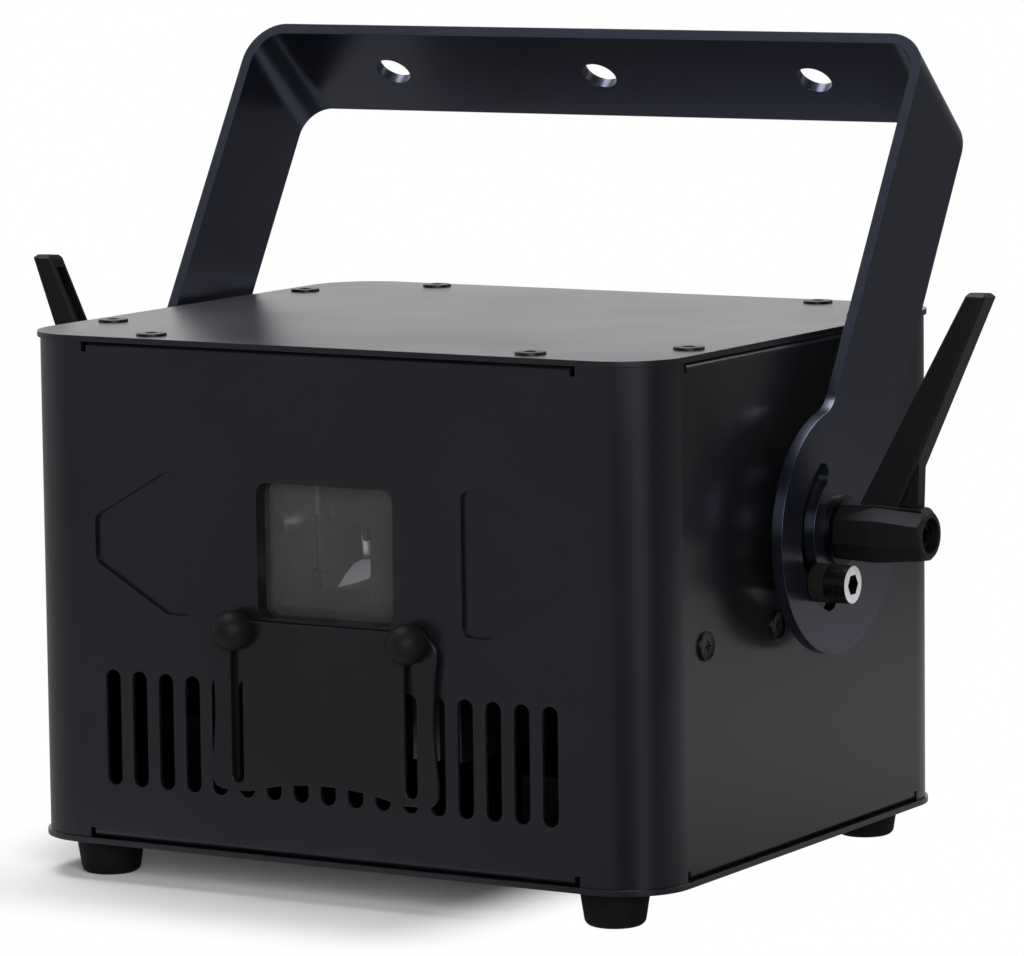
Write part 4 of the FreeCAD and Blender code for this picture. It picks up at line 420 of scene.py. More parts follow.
def button_screw():
    bpy.ops.mesh.primitive_cylinder_add(vertices=48, radius=BUTTON_HEAD, depth=BUTTON_HEIGHT,
                                        location=(0, 0, BUTTON_HEIGHT / 2))
    screw = bpy.context.object
    bpy.ops.object.transform_apply(location=True)
    bpy.ops.object.mode_set(mode="EDIT")
    choose(screw, "EDGE", rim(BUTTON_HEIGHT, BUTTON_HEAD - BUTTON_ROLL))
    bpy.ops.mesh.bevel(offset=BUTTON_ROLL, segments=4)
    choose(screw, "FACE", facing((0, 0, -1), 0))
    bpy.ops.mesh.inset(thickness=BUTTON_HEAD - BUTTON_SHANK)
    draw_out(-BUTTON_LENGTH)
    bpy.ops.object.mode_set(mode="OBJECT")
    bpy.ops.mesh.primitive_cylinder_add(vertices=6, radius=BUTTON_SOCKET, depth=2 * BUTTON_SOCKET_DEPTH,
                                        location=(0, 0, BUTTON_HEIGHT))
    carve(screw, bpy.context.object)
    return screw


LID_TOP, BASE_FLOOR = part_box("top_lid")[1].z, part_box("base_plate")[0].z
BUTTON_PLACES = [(side * x, y) for side in (-1, 1)
                 for x, y in ((0.075, -0.097), (0.0795, 0.097), (0.115, -0.062), (0.115, 0.062))]
SOCKET_TURN = 20
lid_buttons = set_out(button_screw(), [((x, y, LID_TOP), (0, 0, x * SOCKET_TURN)) for x, y in BUTTON_PLACES])
hand_over(lid_buttons, "lid_buttons", "case", "black_steel", "lid_screws")
base_buttons = set_out(button_screw(), [((x, y, BASE_FLOOR), (math.pi, 0, y * SOCKET_TURN))
                                        for x, y in BUTTON_PLACES])
hand_over(base_buttons, "base_buttons", "case", "black_steel", "base_screws")

# %% [markdown]
# The side walls are screwed to the optical bench inside. These screws have flat pan heads with a cross
# recess, which two tapered bars cut.

# %% Cross-recess screws
PAN_HEAD, PAN_HEIGHT, PAN_SHANK, PAN_LENGTH = 0.005, 0.0012, 0.0025, 0.014
PAN_ROLL, PAN_LIP, PAN_DISH = 0.0006, 0.0004, 0.00015
CROSS_BAR, CROSS_TAPER = (0.005, 0.0011, 0.0028), 0.55


def cross_screw():
    bpy.ops.mesh.primitive_cylinder_add(vertices=48, radius=PAN_HEAD, depth=PAN_HEIGHT,
                                        location=(0, 0, PAN_HEIGHT / 2))
    screw = bpy.context.object
    bpy.ops.object.transform_apply(location=True)
    bpy.ops.object.mode_set(mode="EDIT")
    choose(screw, "EDGE", rim(PAN_HEIGHT, PAN_HEAD - PAN_ROLL))
    bpy.ops.mesh.bevel(offset=PAN_ROLL, segments=5)
    choose(screw, "FACE", facing((0, 0, 1), PAN_HEIGHT))
    bpy.ops.mesh.inset(thickness=PAN_LIP)
    bpy.ops.transform.translate(value=(0, 0, -PAN_DISH))
    choose(screw, "FACE", facing((0, 0, -1), 0))
    bpy.ops.mesh.inset(thickness=PAN_HEAD - PAN_SHANK)
    draw_out(-PAN_LENGTH)
    bpy.ops.object.mode_set(mode="OBJECT")
    bars = []
    for turn in (0, math.pi / 2):
        bpy.ops.mesh.primitive_cube_add(size=1, location=(0, 0, PAN_HEIGHT), rotation=(0, 0, turn),
                                        scale=CROSS_BAR)
        bar = bpy.context.object
        bpy.ops.object.transform_apply(location=True, rotation=True, scale=True)
        bpy.ops.object.mode_set(mode="EDIT")
        choose(bar, "FACE", facing((0, 0, -1)))
        bpy.ops.transform.resize(value=(CROSS_TAPER, CROSS_TAPER, 1))
        bpy.ops.object.mode_set(mode="OBJECT")
        bars.append(bar)
    carve(screw, *bars)
    return screw


SIDE_WALL, BENCH_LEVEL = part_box("case_wrap")[1].x, 0.0918
SIDE_SCREWS = [((side * SIDE_WALL, y, BENCH_LEVEL), (0, side * math.pi / 2, 0)) for side in (-1, 1)
               for y in (-0.0705, -0.021)]
cross_screws = set_out(cross_screw(), SIDE_SCREWS)
hand_over(cross_screws, "cross_screws", "case", "black_steel", "side_screws")

# %% [markdown]
# A socket cap screw on each side runs in the yoke's curved slot and stops its tilt. The head is knurled for
# the fingers: each side face is inset by itself and pushed in. Only the chamfered end is bright, so those
# faces get the bright steel, whose pale colour is bare metal and a painted highlight at once.

# %% Stop bolts
CAP_HEAD, CAP_HEIGHT, CAP_SHANK, CAP_SOCKET, CAP_CHAMFER = 0.0066, 0.008, 0.004, 0.0037, 0.0009
KNURL_GAP, KNURL_DEPTH = 0.00011, 0.00022
BRIGHT_BAND, BRIGHT_SLOPE = 0.001, 0.3
STOP_Y, STOP_Z = -0.01924, 0.10738
CAP_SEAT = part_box("stop_sleeves")[1].x
CAP_LENGTH = CAP_SEAT - min(abs(corner.co.x) for corner in solids["stop_bolts"].data.vertices)
bpy.ops.mesh.primitive_cylinder_add(vertices=64, radius=CAP_HEAD, depth=CAP_HEIGHT,
                                    location=(0, 0, CAP_HEIGHT / 2))
cap = bpy.context.object
bpy.ops.object.transform_apply(location=True)
bpy.ops.object.mode_set(mode="EDIT")
choose(cap, "FACE", lambda face: abs(face.normal.z) < 0.1)
bpy.ops.mesh.inset(thickness=KNURL_GAP, depth=-KNURL_DEPTH, use_individual=True)
choose(cap, "EDGE", rim(CAP_HEIGHT, CAP_HEAD - KNURL_GAP))
bpy.ops.mesh.bevel(offset=CAP_CHAMFER, segments=2)
choose(cap, "FACE", facing((0, 0, -1), 0))
bpy.ops.mesh.inset(thickness=CAP_HEAD - CAP_SHANK)
draw_out(-CAP_LENGTH)
bpy.ops.object.mode_set(mode="OBJECT")
bpy.ops.mesh.primitive_cylinder_add(vertices=6, radius=CAP_SOCKET, depth=CAP_HEIGHT,
                                    location=(0, 0, CAP_HEIGHT))
carve(cap, bpy.context.object)
for finish in ("black_steel", "bright_steel"):
    cap.data.materials.append(finishes[finish])
# The faces of the chamfered end get the pale bright steel: bare metal, with a painted highlight in its
# colour.
for face in cap.data.polygons:
    face.material_index = int(face.center.z > CAP_HEIGHT - BRIGHT_BAND and face.normal.z > BRIGHT_SLOPE)
stop_caps = set_out(cap, [((side * CAP_SEAT, STOP_Y, STOP_Z), (0, side * math.pi / 2, 0))
                          for side in (-1, 1)])
hand_over(stop_caps, "stop_caps", "case", "bright_steel", "stop_bolts")

# %% [markdown]
# The feet are moulded rubber cones. A cone is the blank, both rims are rolled, and the underside is inset and
# pushed up into the pocket that hides the screw.

# %% Rubber feet
FOOT_TOP, FOOT_BOTTOM, FOOT_HEIGHT = 0.012, 0.01, 0.013
FOOT_ROLL, FOOT_TOP_ROLL, POCKET_EDGE, POCKET_DEPTH = 0.0022, 0.0006, 0.0031, 0.007
for corner in ("front_left", "front_right", "rear_left", "rear_right"):
    low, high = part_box(f"foot_{corner}")
    bpy.ops.mesh.primitive_cone_add(vertices=64, radius1=FOOT_BOTTOM, radius2=FOOT_TOP, depth=FOOT_HEIGHT,
                                    location=(0, 0, FOOT_HEIGHT / 2))
    foot = bpy.context.object
    bpy.ops.object.transform_apply(location=True)
    bpy.ops.object.mode_set(mode="EDIT")
    choose(foot, "EDGE", rim(0, FOOT_BOTTOM - FOOT_ROLL))
    bpy.ops.mesh.bevel(offset=FOOT_ROLL, segments=6)
    choose(foot, "FACE", facing((0, 0, -1), 0))
    bpy.ops.mesh.inset(thickness=POCKET_EDGE)
    draw_out(POCKET_DEPTH)
    choose(foot, "EDGE", rim(FOOT_HEIGHT, FOOT_TOP - FOOT_TOP_ROLL))
    bpy.ops.mesh.bevel(offset=FOOT_TOP_ROLL, segments=2)
    bpy.ops.object.mode_set(mode="OBJECT")
    settle(foot, ((low.x + high.x) / 2, (low.y + high.y) / 2, 0))
    hand_over(foot, f"rubber_foot_{corner}", "case", "foot_rubber", f"foot_{corner}")

# %% [markdown]
# Two ball knobs clamp the mask plate. A ball is cut flat where it meets the plate. The flat is inset and
# drawn out twice, for the collar and for the threaded stud.

# %% Ball knobs
KNOB_RADIUS = 0.007
KNOB_FLAT = 0.0016 - KNOB_RADIUS
COLLAR_STEP, COLLAR_HEIGHT, STUD_STEP, STUD_LENGTH = 0.0008, 0.0006, 0.0016, 0.0042
for word in ("left", "right"):
    low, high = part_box(f"mask_knob_{word}")
    bpy.ops.mesh.primitive_uv_sphere_add(segments=48, ring_count=24, radius=KNOB_RADIUS)
    knob = bpy.context.object
    bpy.ops.object.mode_set(mode="EDIT")
    bpy.ops.mesh.select_all(action="SELECT")
    bpy.ops.mesh.bisect(plane_co=(0, 0, KNOB_FLAT), plane_no=(0, 0, -1), use_fill=True, clear_outer=True)
    choose(knob, "FACE", facing((0, 0, -1), KNOB_FLAT))
    bpy.ops.mesh.inset(thickness=COLLAR_STEP)
    draw_out(-COLLAR_HEIGHT)
    bpy.ops.mesh.inset(thickness=STUD_STEP)
    draw_out(-STUD_LENGTH)
    bpy.ops.object.mode_set(mode="OBJECT")
    settle(knob, ((low.x + high.x) / 2, low.y + KNOB_RADIUS, (low.z + high.z) / 2), (math.pi / 2, 0, 0))
    hand_over(knob, f"ball_knob_{word}", f"{word}_knob", "knob_plastic", f"mask_knob_{word}")

# %% [markdown]
# Behind the window two small mirrors steer the beam. One stands on a short shaft, and the other is a leaf
# with a point, which keeps it light so that it can swing fast. A flat disc with a few corners is drawn out
# to the outline and thickened, and its shaft is turned as a stepped rod.

# %% Scanning mirrors
MIRROR_DISC, MIRROR_THICKNESS, MIRROR_EDGE = 0.01, 0.001, 0.00018
SHAFT_RADIUS, SHAFT_STEP, SHAFT_TAPER = 0.0015, 0.0004, 0.7
LEAF = [(-0.0155, -0.0047), (-0.0126, 0.0005), (-0.0102, 0.0039), (-0.0073, 0.0057), (-0.0008, 0.0059),
        (-0.0024, -0.0003), (-0.0093, -0.0029)]
LEAF_TURN, LEAF_GRIP = (math.radians(-16), 0, 0), 0.002
BLADE = [(-0.0011, 0.0), (-0.0017, 0.0068), (0.0017, 0.0068), (0.0012, 0.0)]
BLADE_TURN, BLADE_RISE = (math.radians(-13.6), 0, math.radians(35.2)), 0.0055


def glass_blade(corners, spot, turn):
    """A flat blade in the XZ plane with these corners, then turned and put in its place."""
    bpy.ops.mesh.primitive_circle_add(vertices=len(corners), radius=MIRROR_DISC, fill_type="NGON",
                                      rotation=(math.pi / 2, 0, 0))
    blade = bpy.context.object
    bpy.ops.object.transform_apply(rotation=True)
    for corner, (x, z) in zip(blade.data.vertices, corners):
        corner.co = (x, 0, z)
    bpy.ops.object.mode_set(mode="EDIT")
    bpy.ops.mesh.select_all(action="SELECT")
    bpy.ops.mesh.extrude_region_move(TRANSFORM_OT_translate={"value": (0, MIRROR_THICKNESS, 0)})
    bpy.ops.mesh.select_all(action="SELECT")
    bpy.ops.mesh.normals_make_consistent(inside=False)
    bpy.ops.mesh.bevel(offset=MIRROR_EDGE, segments=2)
    bpy.ops.object.mode_set(mode="OBJECT")
    settle(blade, spot, turn)
    blade.data.materials.append(finishes["mirror_coating"])
    return blade


def mirror_shaft(length, spot, turn):
    bpy.ops.mesh.primitive_cylinder_add(vertices=32, radius=SHAFT_RADIUS, depth=length,
                                        location=(0, 0, length / 2))
    shaft = bpy.context.object
    bpy.ops.object.transform_apply(location=True)
    bpy.ops.object.mode_set(mode="EDIT")
    choose(shaft, "FACE", facing((0, 0, -1), 0))
    draw_out(-SHAFT_STEP)
    bpy.ops.transform.resize(value=(SHAFT_TAPER, SHAFT_TAPER, 1))
    bpy.ops.object.mode_set(mode="OBJECT")
    settle(shaft, spot, turn)
    shaft.data.materials.append(finishes["black_steel"])
    return shaft


low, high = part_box("galvo_y_mirror")
axis_y, axis_z = (low.y + high.y) / 2, (low.z + high.z) / 2
leaf = glass_blade(LEAF, (0, axis_y, axis_z), LEAF_TURN)
leaf_shaft = mirror_shaft(high.x + LEAF_GRIP, (-LEAF_GRIP, axis_y, axis_z), (0, math.pi / 2, 0))
hand_over(join_pieces(leaf, leaf_shaft), "leaf_mirror", "y_scanner", "mirror_coating", "galvo_y_mirror")
low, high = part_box("galvo_x_mirror")
axis_x, axis_y = (low.x + high.x) / 2, (low.y + high.y) / 2
blade = glass_blade(BLADE, (axis_x, axis_y, low.z), BLADE_TURN)
blade_shaft = mirror_shaft(high.z - low.z - BLADE_RISE, (axis_x, axis_y, low.z + BLADE_RISE), (0, 0, 0))
hand_over(join_pieces(blade, blade_shaft), "blade_mirror", "x_scanner", "mirror_coating", "galvo_x_mirror")

# %% [markdown]
# Sheet metal is never knife-sharp. Paint rounds each edge, and a thin line of light shows there. So the
# painted sheets are copied from their solids, their triangles are merged into whole faces, and a small bevel
# goes round every hard edge.

# %% Painted sheets
MERGE_DISTANCE, FLAT_ANGLE, HARD_ANGLE = 0.00001, math.radians(0.5), math.radians(38)
SHEET_EDGE, YOKE_EDGE = 0.0004, 0.0002
SHEETS = [("top_lid", "painted_lid", "case", "plate_paint", SHEET_EDGE),
          ("base_plate", "painted_base", "case", "plate_paint", SHEET_EDGE),
          ("rear_panel", "painted_rear", "case", "plate_paint", SHEET_EDGE),
          ("mask_plate", "painted_mask", "mask", "mask_paint", SHEET_EDGE),
          ("yoke", "painted_yoke", "yoke_frame", "yoke_paint", YOKE_EDGE)]


def merged_copy(node):
    """A copy of a solid, its loose triangles merged into whole faces."""
    piece = bpy.data.objects.new(node + "_copy", solids[node].data.copy())
    bpy.context.collection.objects.link(piece)
    alone(piece)
    bpy.ops.object.mode_set(mode="EDIT")
    bpy.ops.mesh.select_all(action="SELECT")
    bpy.ops.mesh.remove_doubles(threshold=MERGE_DISTANCE)
    bpy.ops.mesh.dissolve_limited(angle_limit=FLAT_ANGLE)
    bpy.ops.object.mode_set(mode="OBJECT")
    return piece


def dress(piece, name, body, slot, node, width):
    """Round the hard edges of a copied solid and enrol it."""
    alone(piece)
    bpy.ops.object.shade_smooth()
    apply_modifier(piece, "BEVEL", width=width, segments=2, limit_method="ANGLE", angle_limit=HARD_ANGLE)
    apply_modifier(piece, "WEIGHTED_NORMAL", keep_sharp=False, weight=100)
    piece.data.materials.clear()
    enrol(piece, name, body, slot, node)


for node, name, body, slot, width in SHEETS:
    dress(merged_copy(node), name, body, slot, node, width)

# %% [markdown]
# The clamp levers are cast zinc. Their hubs have flats for the fingers, the tips are chamfered, and a channel
# runs up the inner side to save metal. The right one is a merged copy of its solid, set upright on the
# bench, where thin blocks plane the flats, a bar lengthens the channel and four cuts chamfer the tip. The
# left one is its mirror image.

# %% Cast levers
LEVER_SEAT, LEVER_LEAN = Vector((0.1403, -0.0015, 0.1228)), math.radians(4)
LEVER_EDGE = 0.0005
HUB_BELLY, HUB_END = 0.0146, 0.0325
FLATS = [(-0.001, HUB_BELLY, 0.0093, 0.0099), (HUB_BELLY, HUB_END, 0.0099, 0.0083)]
WIDE_FLAT, NARROW_FLAT, PLANER_THICKNESS = 0.012, 0.0064, 0.004
FLAT_TURNS = {48: NARROW_FLAT, 90: WIDE_FLAT, 135: WIDE_FLAT, 180: WIDE_FLAT, 225: WIDE_FLAT, 270: WIDE_FLAT,
              312: NARROW_FLAT}
CHANNEL, CHANNEL_LEAN, CHANNEL_SPOT = (0.005, 0.005, 0.03), math.radians(27.5), (0.0361, 0, 0.0645)
TIP = 0.082
TIP_CHAMFERS = [((0, 0.0032, TIP), (0, 1, 1)), ((0, -0.0032, TIP), (0, -1, 1)), ((0.0512, 0, TIP), (1, 0, 1)),
                ((0.0465, 0, TIP), (-1, 0, 1))]


def planing_block(start, end, near, far, turn, width):
    """A thin block whose inner face runs from one distance to another along the hub."""
    length = end - start
    bpy.ops.mesh.primitive_cube_add(size=1, scale=(length, width, PLANER_THICKNESS),
                                    rotation=(0, math.atan2(near - far, length), 0),
                                    location=((start + end) / 2, 0, (near + far + PLANER_THICKNESS) / 2))
    planer = bpy.context.object
    bpy.ops.object.transform_apply(location=True, rotation=True, scale=True)
    settle(planer, (0, 0, 0), (turn, 0, 0))
    return planer


lever = merged_copy("lever_right")
settle(lever, -LEVER_SEAT)
settle(lever, (0, 0, 0), (LEVER_LEAN, 0, 0))
for degrees, width in FLAT_TURNS.items():
    for flat in FLATS:
        carve(lever, planing_block(*flat, math.radians(degrees), width))
bpy.ops.mesh.primitive_cube_add(size=1, scale=CHANNEL, rotation=(0, CHANNEL_LEAN, 0), location=CHANNEL_SPOT)
channel = bpy.context.object
bpy.ops.object.transform_apply(location=True, rotation=True, scale=True)
carve(lever, channel)
bpy.ops.object.mode_set(mode="EDIT")
for spot, normal in TIP_CHAMFERS:
    bpy.ops.mesh.select_all(action="SELECT")
    bpy.ops.mesh.bisect(plane_co=spot, plane_no=normal, use_fill=True, clear_outer=True)
bpy.ops.object.mode_set(mode="OBJECT")
settle(lever, LEVER_SEAT, (-LEVER_LEAN, 0, 0))
bpy.ops.object.duplicate()
twin = bpy.context.object
twin.scale = (-1, 1, 1)
bpy.ops.object.transform_apply(scale=True)
face_outwards(twin)
dress(lever, "cast_lever_right", "right_handle", "lever_zinc", "lever_right", LEVER_EDGE)
dress(twin, "cast_lever_left", "left_handle", "lever_zinc", "lever_left", LEVER_EDGE)

# %% [markdown]
# Inside each lever a coil spring holds the handle on its splines, and closes up against the head of the
# lever screw as the handle is lifted. It is wire wound round an arbor. A ring as thick as the wire is carried
# up a screw path, and its two ends are closed.

# %% Lever springs
WIRE_RADIUS, WIRE_INSET = 0.00035, 0.00042
SPRING_TURNS, SPRING_STEPS, SPRING_CLOSED = 3, 28, 0.4


def coil_spring(radius, height):
    """Wire wound up along Z from the floor."""
    bpy.ops.mesh.primitive_circle_add(vertices=10, radius=WIRE_RADIUS, location=(radius, 0, WIRE_RADIUS),
                                      rotation=(math.pi / 2, 0, 0))
    coil = bpy.context.object
    bpy.ops.object.transform_apply(location=True, rotation=True, scale=True)
    apply_modifier(coil, "SCREW", angle=2 * math.pi, iterations=SPRING_TURNS, steps=SPRING_STEPS,
                   render_steps=SPRING_STEPS, screw_offset=(height - 2 * WIRE_RADIUS) / SPRING_TURNS)
    bpy.ops.object.mode_set(mode="EDIT")
    bpy.ops.mesh.select_all(action="SELECT")
    bpy.ops.mesh.fill_holes(sides=0)
    bpy.ops.object.mode_set(mode="OBJECT")
    face_outwards(coil)
    return coil


for side, word in ((1, "right"), (-1, "left")):
    low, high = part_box(f"lever_spring_{word}")
    inner, outer = (low.x, high.x) if side > 0 else (high.x, low.x)
    coil = coil_spring((high.y - low.y) / 2 - WIRE_INSET, high.x - low.x)
    settle(coil, (inner, (low.y + high.y) / 2, (low.z + high.z) / 2), (0, side * math.pi / 2, 0))
    hand_over(coil, f"wound_spring_{word}", f"{word}_clamp", "black_steel", f"lever_spring_{word}", smooth=60)
    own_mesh(coil)

# %% [markdown]
# Two control sockets sit in the rear panel. Each has a plated flange, a shell like a letter D, two rows of
# pins in dark plastic, and a hexagon post at each end. The flange and the shell start as blocks. The shell
# is narrowed on one side, its edges are rounded, and its end is inset and pushed in to make the cavity.

# %% Control sockets
FLANGE, FLANGE_CORNER, FLANGE_EDGE = (0.053, 0.013, 0.0012), 0.002, 0.0003
SHELL, SHELL_TAPER = (0.038, 0.0085, 0.0048), 0.9
SHELL_CORNER, SHELL_WALL, SHELL_DEPTH = 0.0016, 0.0006, 0.0042
CAVITY_MIDDLE = FLANGE[2] + SHELL[2] - SHELL_DEPTH / 2
PIN_RADIUS, PIN_LENGTH, PIN_TIP, PIN_FLOOR = 0.0005, 0.0036, 0.0002, 0.0017
PIN_PITCH, PIN_ROW = 0.00276, 0.00142
POST_RADIUS, POST_LENGTH, POST_PLACE = 0.0027, 0.004, 0.0235
POST_EDGE, POST_WALL, POST_DEPTH = 0.0003, 0.0009, 0.003


def socket_block(size, floor):
    bpy.ops.mesh.primitive_cube_add(size=1, scale=size, location=(0, 0, floor + size[2] / 2))
    bpy.ops.object.transform_apply(location=True, scale=True)
    return bpy.context.object


def upright_edges(edge):
    return abs((edge.verts[0].co - edge.verts[1].co).normalized().z) > ALIGNED


flange = socket_block(FLANGE, 0)
bpy.ops.object.mode_set(mode="EDIT")
choose(flange, "EDGE", upright_edges)
bpy.ops.mesh.bevel(offset=FLANGE_CORNER, segments=4)
choose(flange, "EDGE", rim(FLANGE[2], 0))
bpy.ops.mesh.bevel(offset=FLANGE_EDGE, segments=2)
bpy.ops.object.mode_set(mode="OBJECT")
shell = socket_block(SHELL, FLANGE[2])
bpy.ops.object.mode_set(mode="EDIT")
choose(shell, "FACE", facing((0, 1, 0)))
bpy.ops.transform.resize(value=(SHELL_TAPER, 1, 1))
choose(shell, "EDGE", upright_edges)
bpy.ops.mesh.bevel(offset=SHELL_CORNER, segments=5)
choose(shell, "FACE", facing((0, 0, 1)))
bpy.ops.mesh.inset(thickness=SHELL_WALL)
draw_out(-SHELL_DEPTH)
bpy.ops.object.mode_set(mode="OBJECT")
for piece in (flange, shell):
    piece.data.materials.append(finishes["supply_steel"])
shell.data.materials.append(finishes["socket_plastic"])
for face in shell.data.polygons:
    face.material_index = int(face.normal.z > ALIGNED and face.center.z < CAVITY_MIDDLE)
bpy.ops.mesh.primitive_cylinder_add(vertices=12, radius=PIN_RADIUS, depth=PIN_LENGTH,
                                    location=(0, 0, PIN_LENGTH / 2))
pin = bpy.context.object
bpy.ops.object.transform_apply(location=True)
bpy.ops.object.mode_set(mode="EDIT")
choose(pin, "EDGE", rim(PIN_LENGTH, PIN_RADIUS - PIN_TIP))
bpy.ops.mesh.bevel(offset=PIN_TIP, segments=2)
bpy.ops.object.mode_set(mode="OBJECT")
pin.data.materials.append(finishes["key_chrome"])
pin_spots = [((PIN_PITCH * (number - (count - 1) / 2), row, PIN_FLOOR), (0, 0, 0))
             for count, row in ((13, -PIN_ROW), (12, PIN_ROW)) for number in range(count)]
pins = set_out(pin, pin_spots)
bpy.ops.mesh.primitive_cylinder_add(vertices=6, radius=POST_RADIUS, depth=POST_LENGTH,
                                    location=(0, 0, POST_LENGTH / 2))
post = bpy.context.object
bpy.ops.object.transform_apply(location=True)
bpy.ops.object.mode_set(mode="EDIT")
choose(post, "FACE", facing((0, 0, 1)))
bpy.ops.mesh.bevel(offset=POST_EDGE, segments=2)
choose(post, "FACE", facing((0, 0, 1), POST_LENGTH))
bpy.ops.mesh.inset(thickness=POST_WALL)
draw_out(-POST_DEPTH)
bpy.ops.object.mode_set(mode="OBJECT")
post.data.materials.append(finishes["key_chrome"])
posts = set_out(post, [((side * POST_PLACE, 0, FLANGE[2]), (0, 0, 0)) for side in (-1, 1)])
low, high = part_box("control_sockets")
PANEL_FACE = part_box("rear_panel")[1].y
SOCKET_LEVELS = (high.z - FLANGE[1] / 2, low.z + FLANGE[1] / 2)
sockets = set_out(join_pieces(flange, shell, pins, posts),
                  [((0, PANEL_FACE, level), (-math.pi / 2, 0, 0)) for level in SOCKET_LEVELS])
hand_over(sockets, "rear_sockets", "case", "supply_steel", "control_sockets")

# %% [markdown]
# Black things are lit by what they reflect, so the studio is built for reflections. A white sweep stands
# behind, the room in front is dim, and one pale strip stands near the camera for the round corner. A ramp
# holds these tones by compass direction for the world, and a copy that is darker behind is for the floor.

# %% Studio tones by direction
WHITE = (1, 1, 1, 1)
REAR_TONE = (0.16, 0.16, 0.16, 1)
TONES = [(-178, 0.16), (-164, 0.3), (-156, 1.0), (-120, 1.0), (-75, 0.6), (-45, 0.3), (2, 0.28), (14, 0.0),
         (38, 0.0), (52, 0.4), (64, 0.4), (80, 0.05), (94, 0.05), (106, 0.13), (150, 0.13), (178, 0.16)]
FLOOR_TONES = [(-178, 0.13), (-156, 0.2), (-120, 0.3), (-75, 0.4)] + TONES[5:]


def studio_tone(tree, direction, tones):
    """The tone of the studio in a direction."""
    parts = tree.nodes.new("ShaderNodeSeparateXYZ")
    tree.links.new(direction, parts.inputs["Vector"])
    ahead = reckon(tree, "MULTIPLY", parts.outputs["Y"], -1.0)
    compass = reckon(tree, "ARCTAN2", parts.outputs["X"], ahead)
    turn = add(tree, "ShaderNodeMapRange", From_Min=-math.pi, From_Max=math.pi)
    tree.links.new(compass, turn.inputs["Value"])
    ramp = tree.nodes.new("ShaderNodeValToRGB")
    marks = ramp.color_ramp.elements
    marks[0].color = marks[1].color = REAR_TONE
    for degrees, tone in tones:
        marks.new(degrees / 360 + 0.5).color = (tone, tone, tone, 1)
    tree.links.new(turn.outputs["Result"], ramp.inputs["Fac"])
    return ramp.outputs["Color"]


def rays_that_show(tree):
    """The camera's rays alone, and with them the glossy and the see-through ones."""
    rays = tree.nodes.new("ShaderNodeLightPath").outputs
    sharp = reckon(tree, "MAXIMUM", rays["Is Camera Ray"], rays["Is Glossy Ray"])
    return rays["Is Camera Ray"], reckon(tree, "MAXIMUM", sharp, rays["Is Transmission Ray"])


def blend_colour(tree, amount, first, second):
    mixer = tree.nodes.new("ShaderNodeMix")
    mixer.data_type = "RGBA"
    tree.links.new(amount, mixer.inputs["Factor"])
    for socket, colour in ((mixer.inputs[6], first), (mixer.inputs[7], second)):
        if isinstance(colour, tuple):
            socket.default_value = colour
        else:
            tree.links.new(colour, socket)
    return mixer.outputs[2]


# %% [markdown]
# The floor is matte paper near the box, so it keeps the shadow. Further out it turns into the white of the
# backdrop, and so no horizon shows. A little of the white glow stays even under the box, a painted light
# that lifts the shadow, and the paper sits off to the left and front, so on the right the glow paints over
# the shadow.

# %% Floor
FLOOR_SIZE = 12
PAPER_WHITE, MIDDLE_GREY = (0.9, 0.9, 0.9, 1), (0.5, 0.5, 0.5, 1)
# The last number is painted light: a share of white glow that stays under the box and lightens its shadow.
# The shift puts the paper to the left and front, so on the right the glow paints over the shadow.
PAPER_SHIFT, PAPER_HALF, PAPER_FADE, SHADOW_LIFT_GLOW = (0.05, 0.05, 0), (0.08, 0.08, 0), 0.05, 0.03
GREY_CENTRE, GREY_START, GREY_END = (0.32, 0.36, 0), 0.1, 0.62
FRONT_CORNER = (0.115, -0.1, 0)
VECTORS = "ShaderNodeVectorMath"


def ease(tree, amount, **band):
    """A number that runs smoothly from one end of a band to the other."""
    slope = add(tree, "ShaderNodeMapRange", **band)
    slope.interpolation_type = "SMOOTHSTEP"
    tree.links.new(amount, slope.inputs["Value"])
    return slope.outputs["Result"]


bpy.ops.mesh.primitive_plane_add(size=FLOOR_SIZE)
floor = bpy.context.object
floor.name = "studio_floor"
floor_paint, tree, shader = start_finish("studio_floor")
tree.nodes.remove(shader)
paper = add(tree, "ShaderNodeBsdfDiffuse", Color=PAPER_WHITE, Roughness=0.5)
glow = add(tree, "ShaderNodeEmission", Strength=1.0)
blend = tree.nodes.new("ShaderNodeMixShader")
spot = place_of(tree, (1, 1, 0))
outside = spot
for operation, *terms in (("ADD", PAPER_SHIFT), ("ABSOLUTE",), ("SUBTRACT", PAPER_HALF),
                          ("MAXIMUM", (0, 0, 0))):
    outside = reckon(tree, operation, outside, *terms, kind=VECTORS, result="Vector")
fade = ease(tree, reckon(tree, "LENGTH", outside, kind=VECTORS), From_Min=0.0, From_Max=PAPER_FADE,
            To_Min=SHADOW_LIFT_GLOW)
grey = ease(tree, reckon(tree, "DISTANCE", spot, GREY_CENTRE, kind=VECTORS), From_Min=GREY_START,
            From_Max=GREY_END, To_Min=1.0, To_Max=0.0)
from_corner = reckon(tree, "SUBTRACT", spot, FRONT_CORNER, kind=VECTORS, result="Vector")
mirrored_tone = blend_colour(tree, grey, studio_tone(tree, from_corner, FLOOR_TONES), MIDDLE_GREY)
camera_rays, seen = rays_that_show(tree)
tree.links.new(blend_colour(tree, camera_rays, mirrored_tone, WHITE), glow.inputs["Color"])
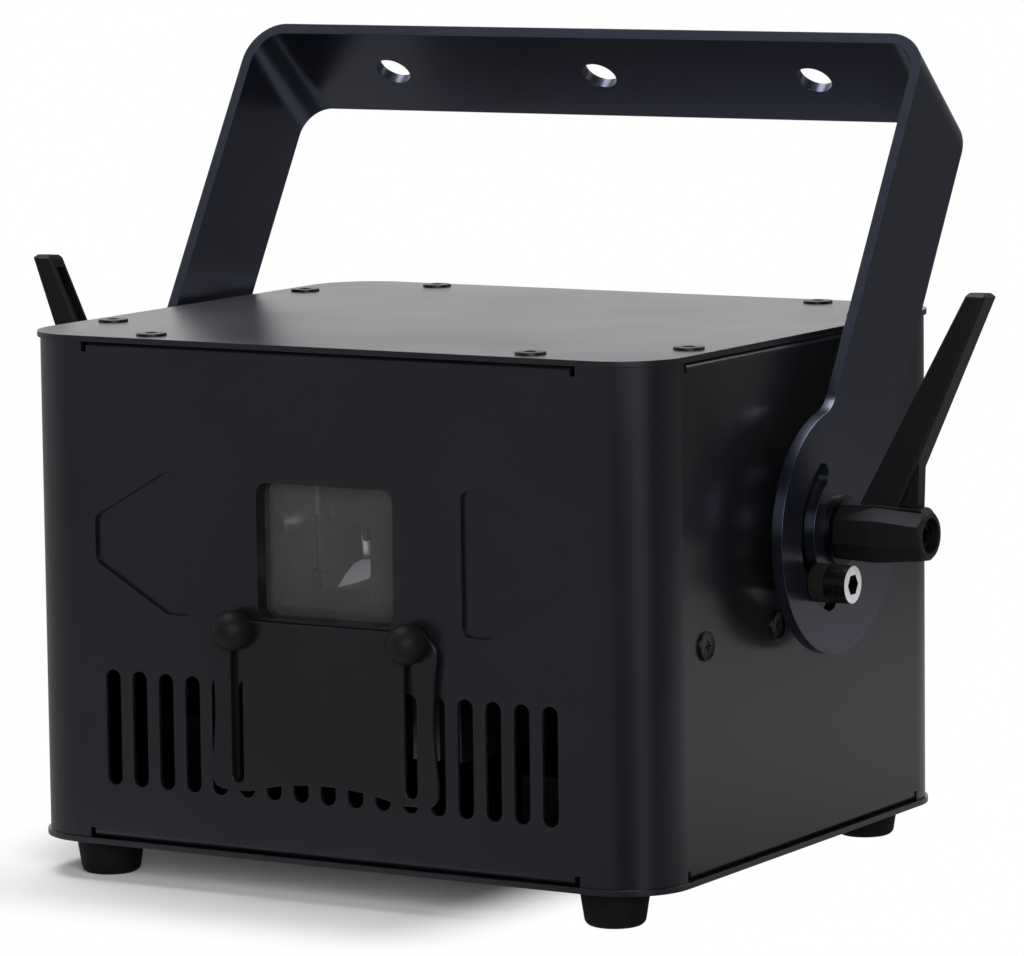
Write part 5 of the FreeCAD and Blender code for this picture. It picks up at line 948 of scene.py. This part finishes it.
tree.links.new(reckon(tree, "MULTIPLY", fade, seen), blend.inputs["Fac"])
tree.links.new(paper.outputs["BSDF"], blend.inputs[1])
tree.links.new(glow.outputs["Emission"], blend.inputs[2])
tree.links.new(blend.outputs["Shader"], tree.nodes["Material Output"].inputs["Surface"])
floor.data.materials.append(floor_paint)
print("floor of", FLOOR_SIZE, "m")

# %% [markdown]
# The world is white to the eye and shows the studio tones to reflections. Its light on matte faces is weak.
# Three large soft lamps add the rest: one over the top, one by the camera, and one behind on the right, whose
# shadow falls to the front left.

# %% World and lamps
MATTE_LIGHT = 0.5
# Each row: name, place, what it is aimed at, size and watts
LAMPS = [("top_lamp", (-0.35, 0.3, 2.0), (0, 0, 0.1), (1.6, 1.2), 45),
         ("front_lamp", (1.15, -1.47, 0.75), (0, -0.1, 0.1), (1.3, 1.0), 17),
         ("rear_lamp", (1.4, 1.6, 1.3), (0.1, 0, 0.1), (0.9, 0.9), 16)]
world = bpy.data.worlds.new("studio")
bpy.context.scene.world = world
world.use_nodes = True
sky = world.node_tree
background = sky.nodes["Background"]
direction = sky.nodes.new("ShaderNodeTexCoord").outputs["Generated"]
camera_rays, seen = rays_that_show(sky)
tone = blend_colour(sky, camera_rays, studio_tone(sky, direction, TONES), WHITE)
sky.links.new(tone, background.inputs["Color"])
power = add(sky, "ShaderNodeMapRange", To_Min=MATTE_LIGHT, To_Max=1.0)
sky.links.new(seen, power.inputs["Value"])
sky.links.new(power.outputs["Result"], background.inputs["Strength"])


def soft_lamp(name, spot, target, size, watts):
    bpy.ops.object.light_add(type="AREA", location=spot)
    lamp = bpy.context.object
    lamp.name = name
    lamp.data.shape = "RECTANGLE"
    lamp.data.size, lamp.data.size_y = size
    lamp.data.energy = watts
    lamp.rotation_mode = "QUATERNION"
    lamp.rotation_quaternion = (Vector(target) - Vector(spot)).to_track_quat("-Z", "Y")


for row in LAMPS:
    soft_lamp(*row)
bpy.context.scene.view_settings.view_transform = "Standard"
print("world and", len(LAMPS), "lamps")
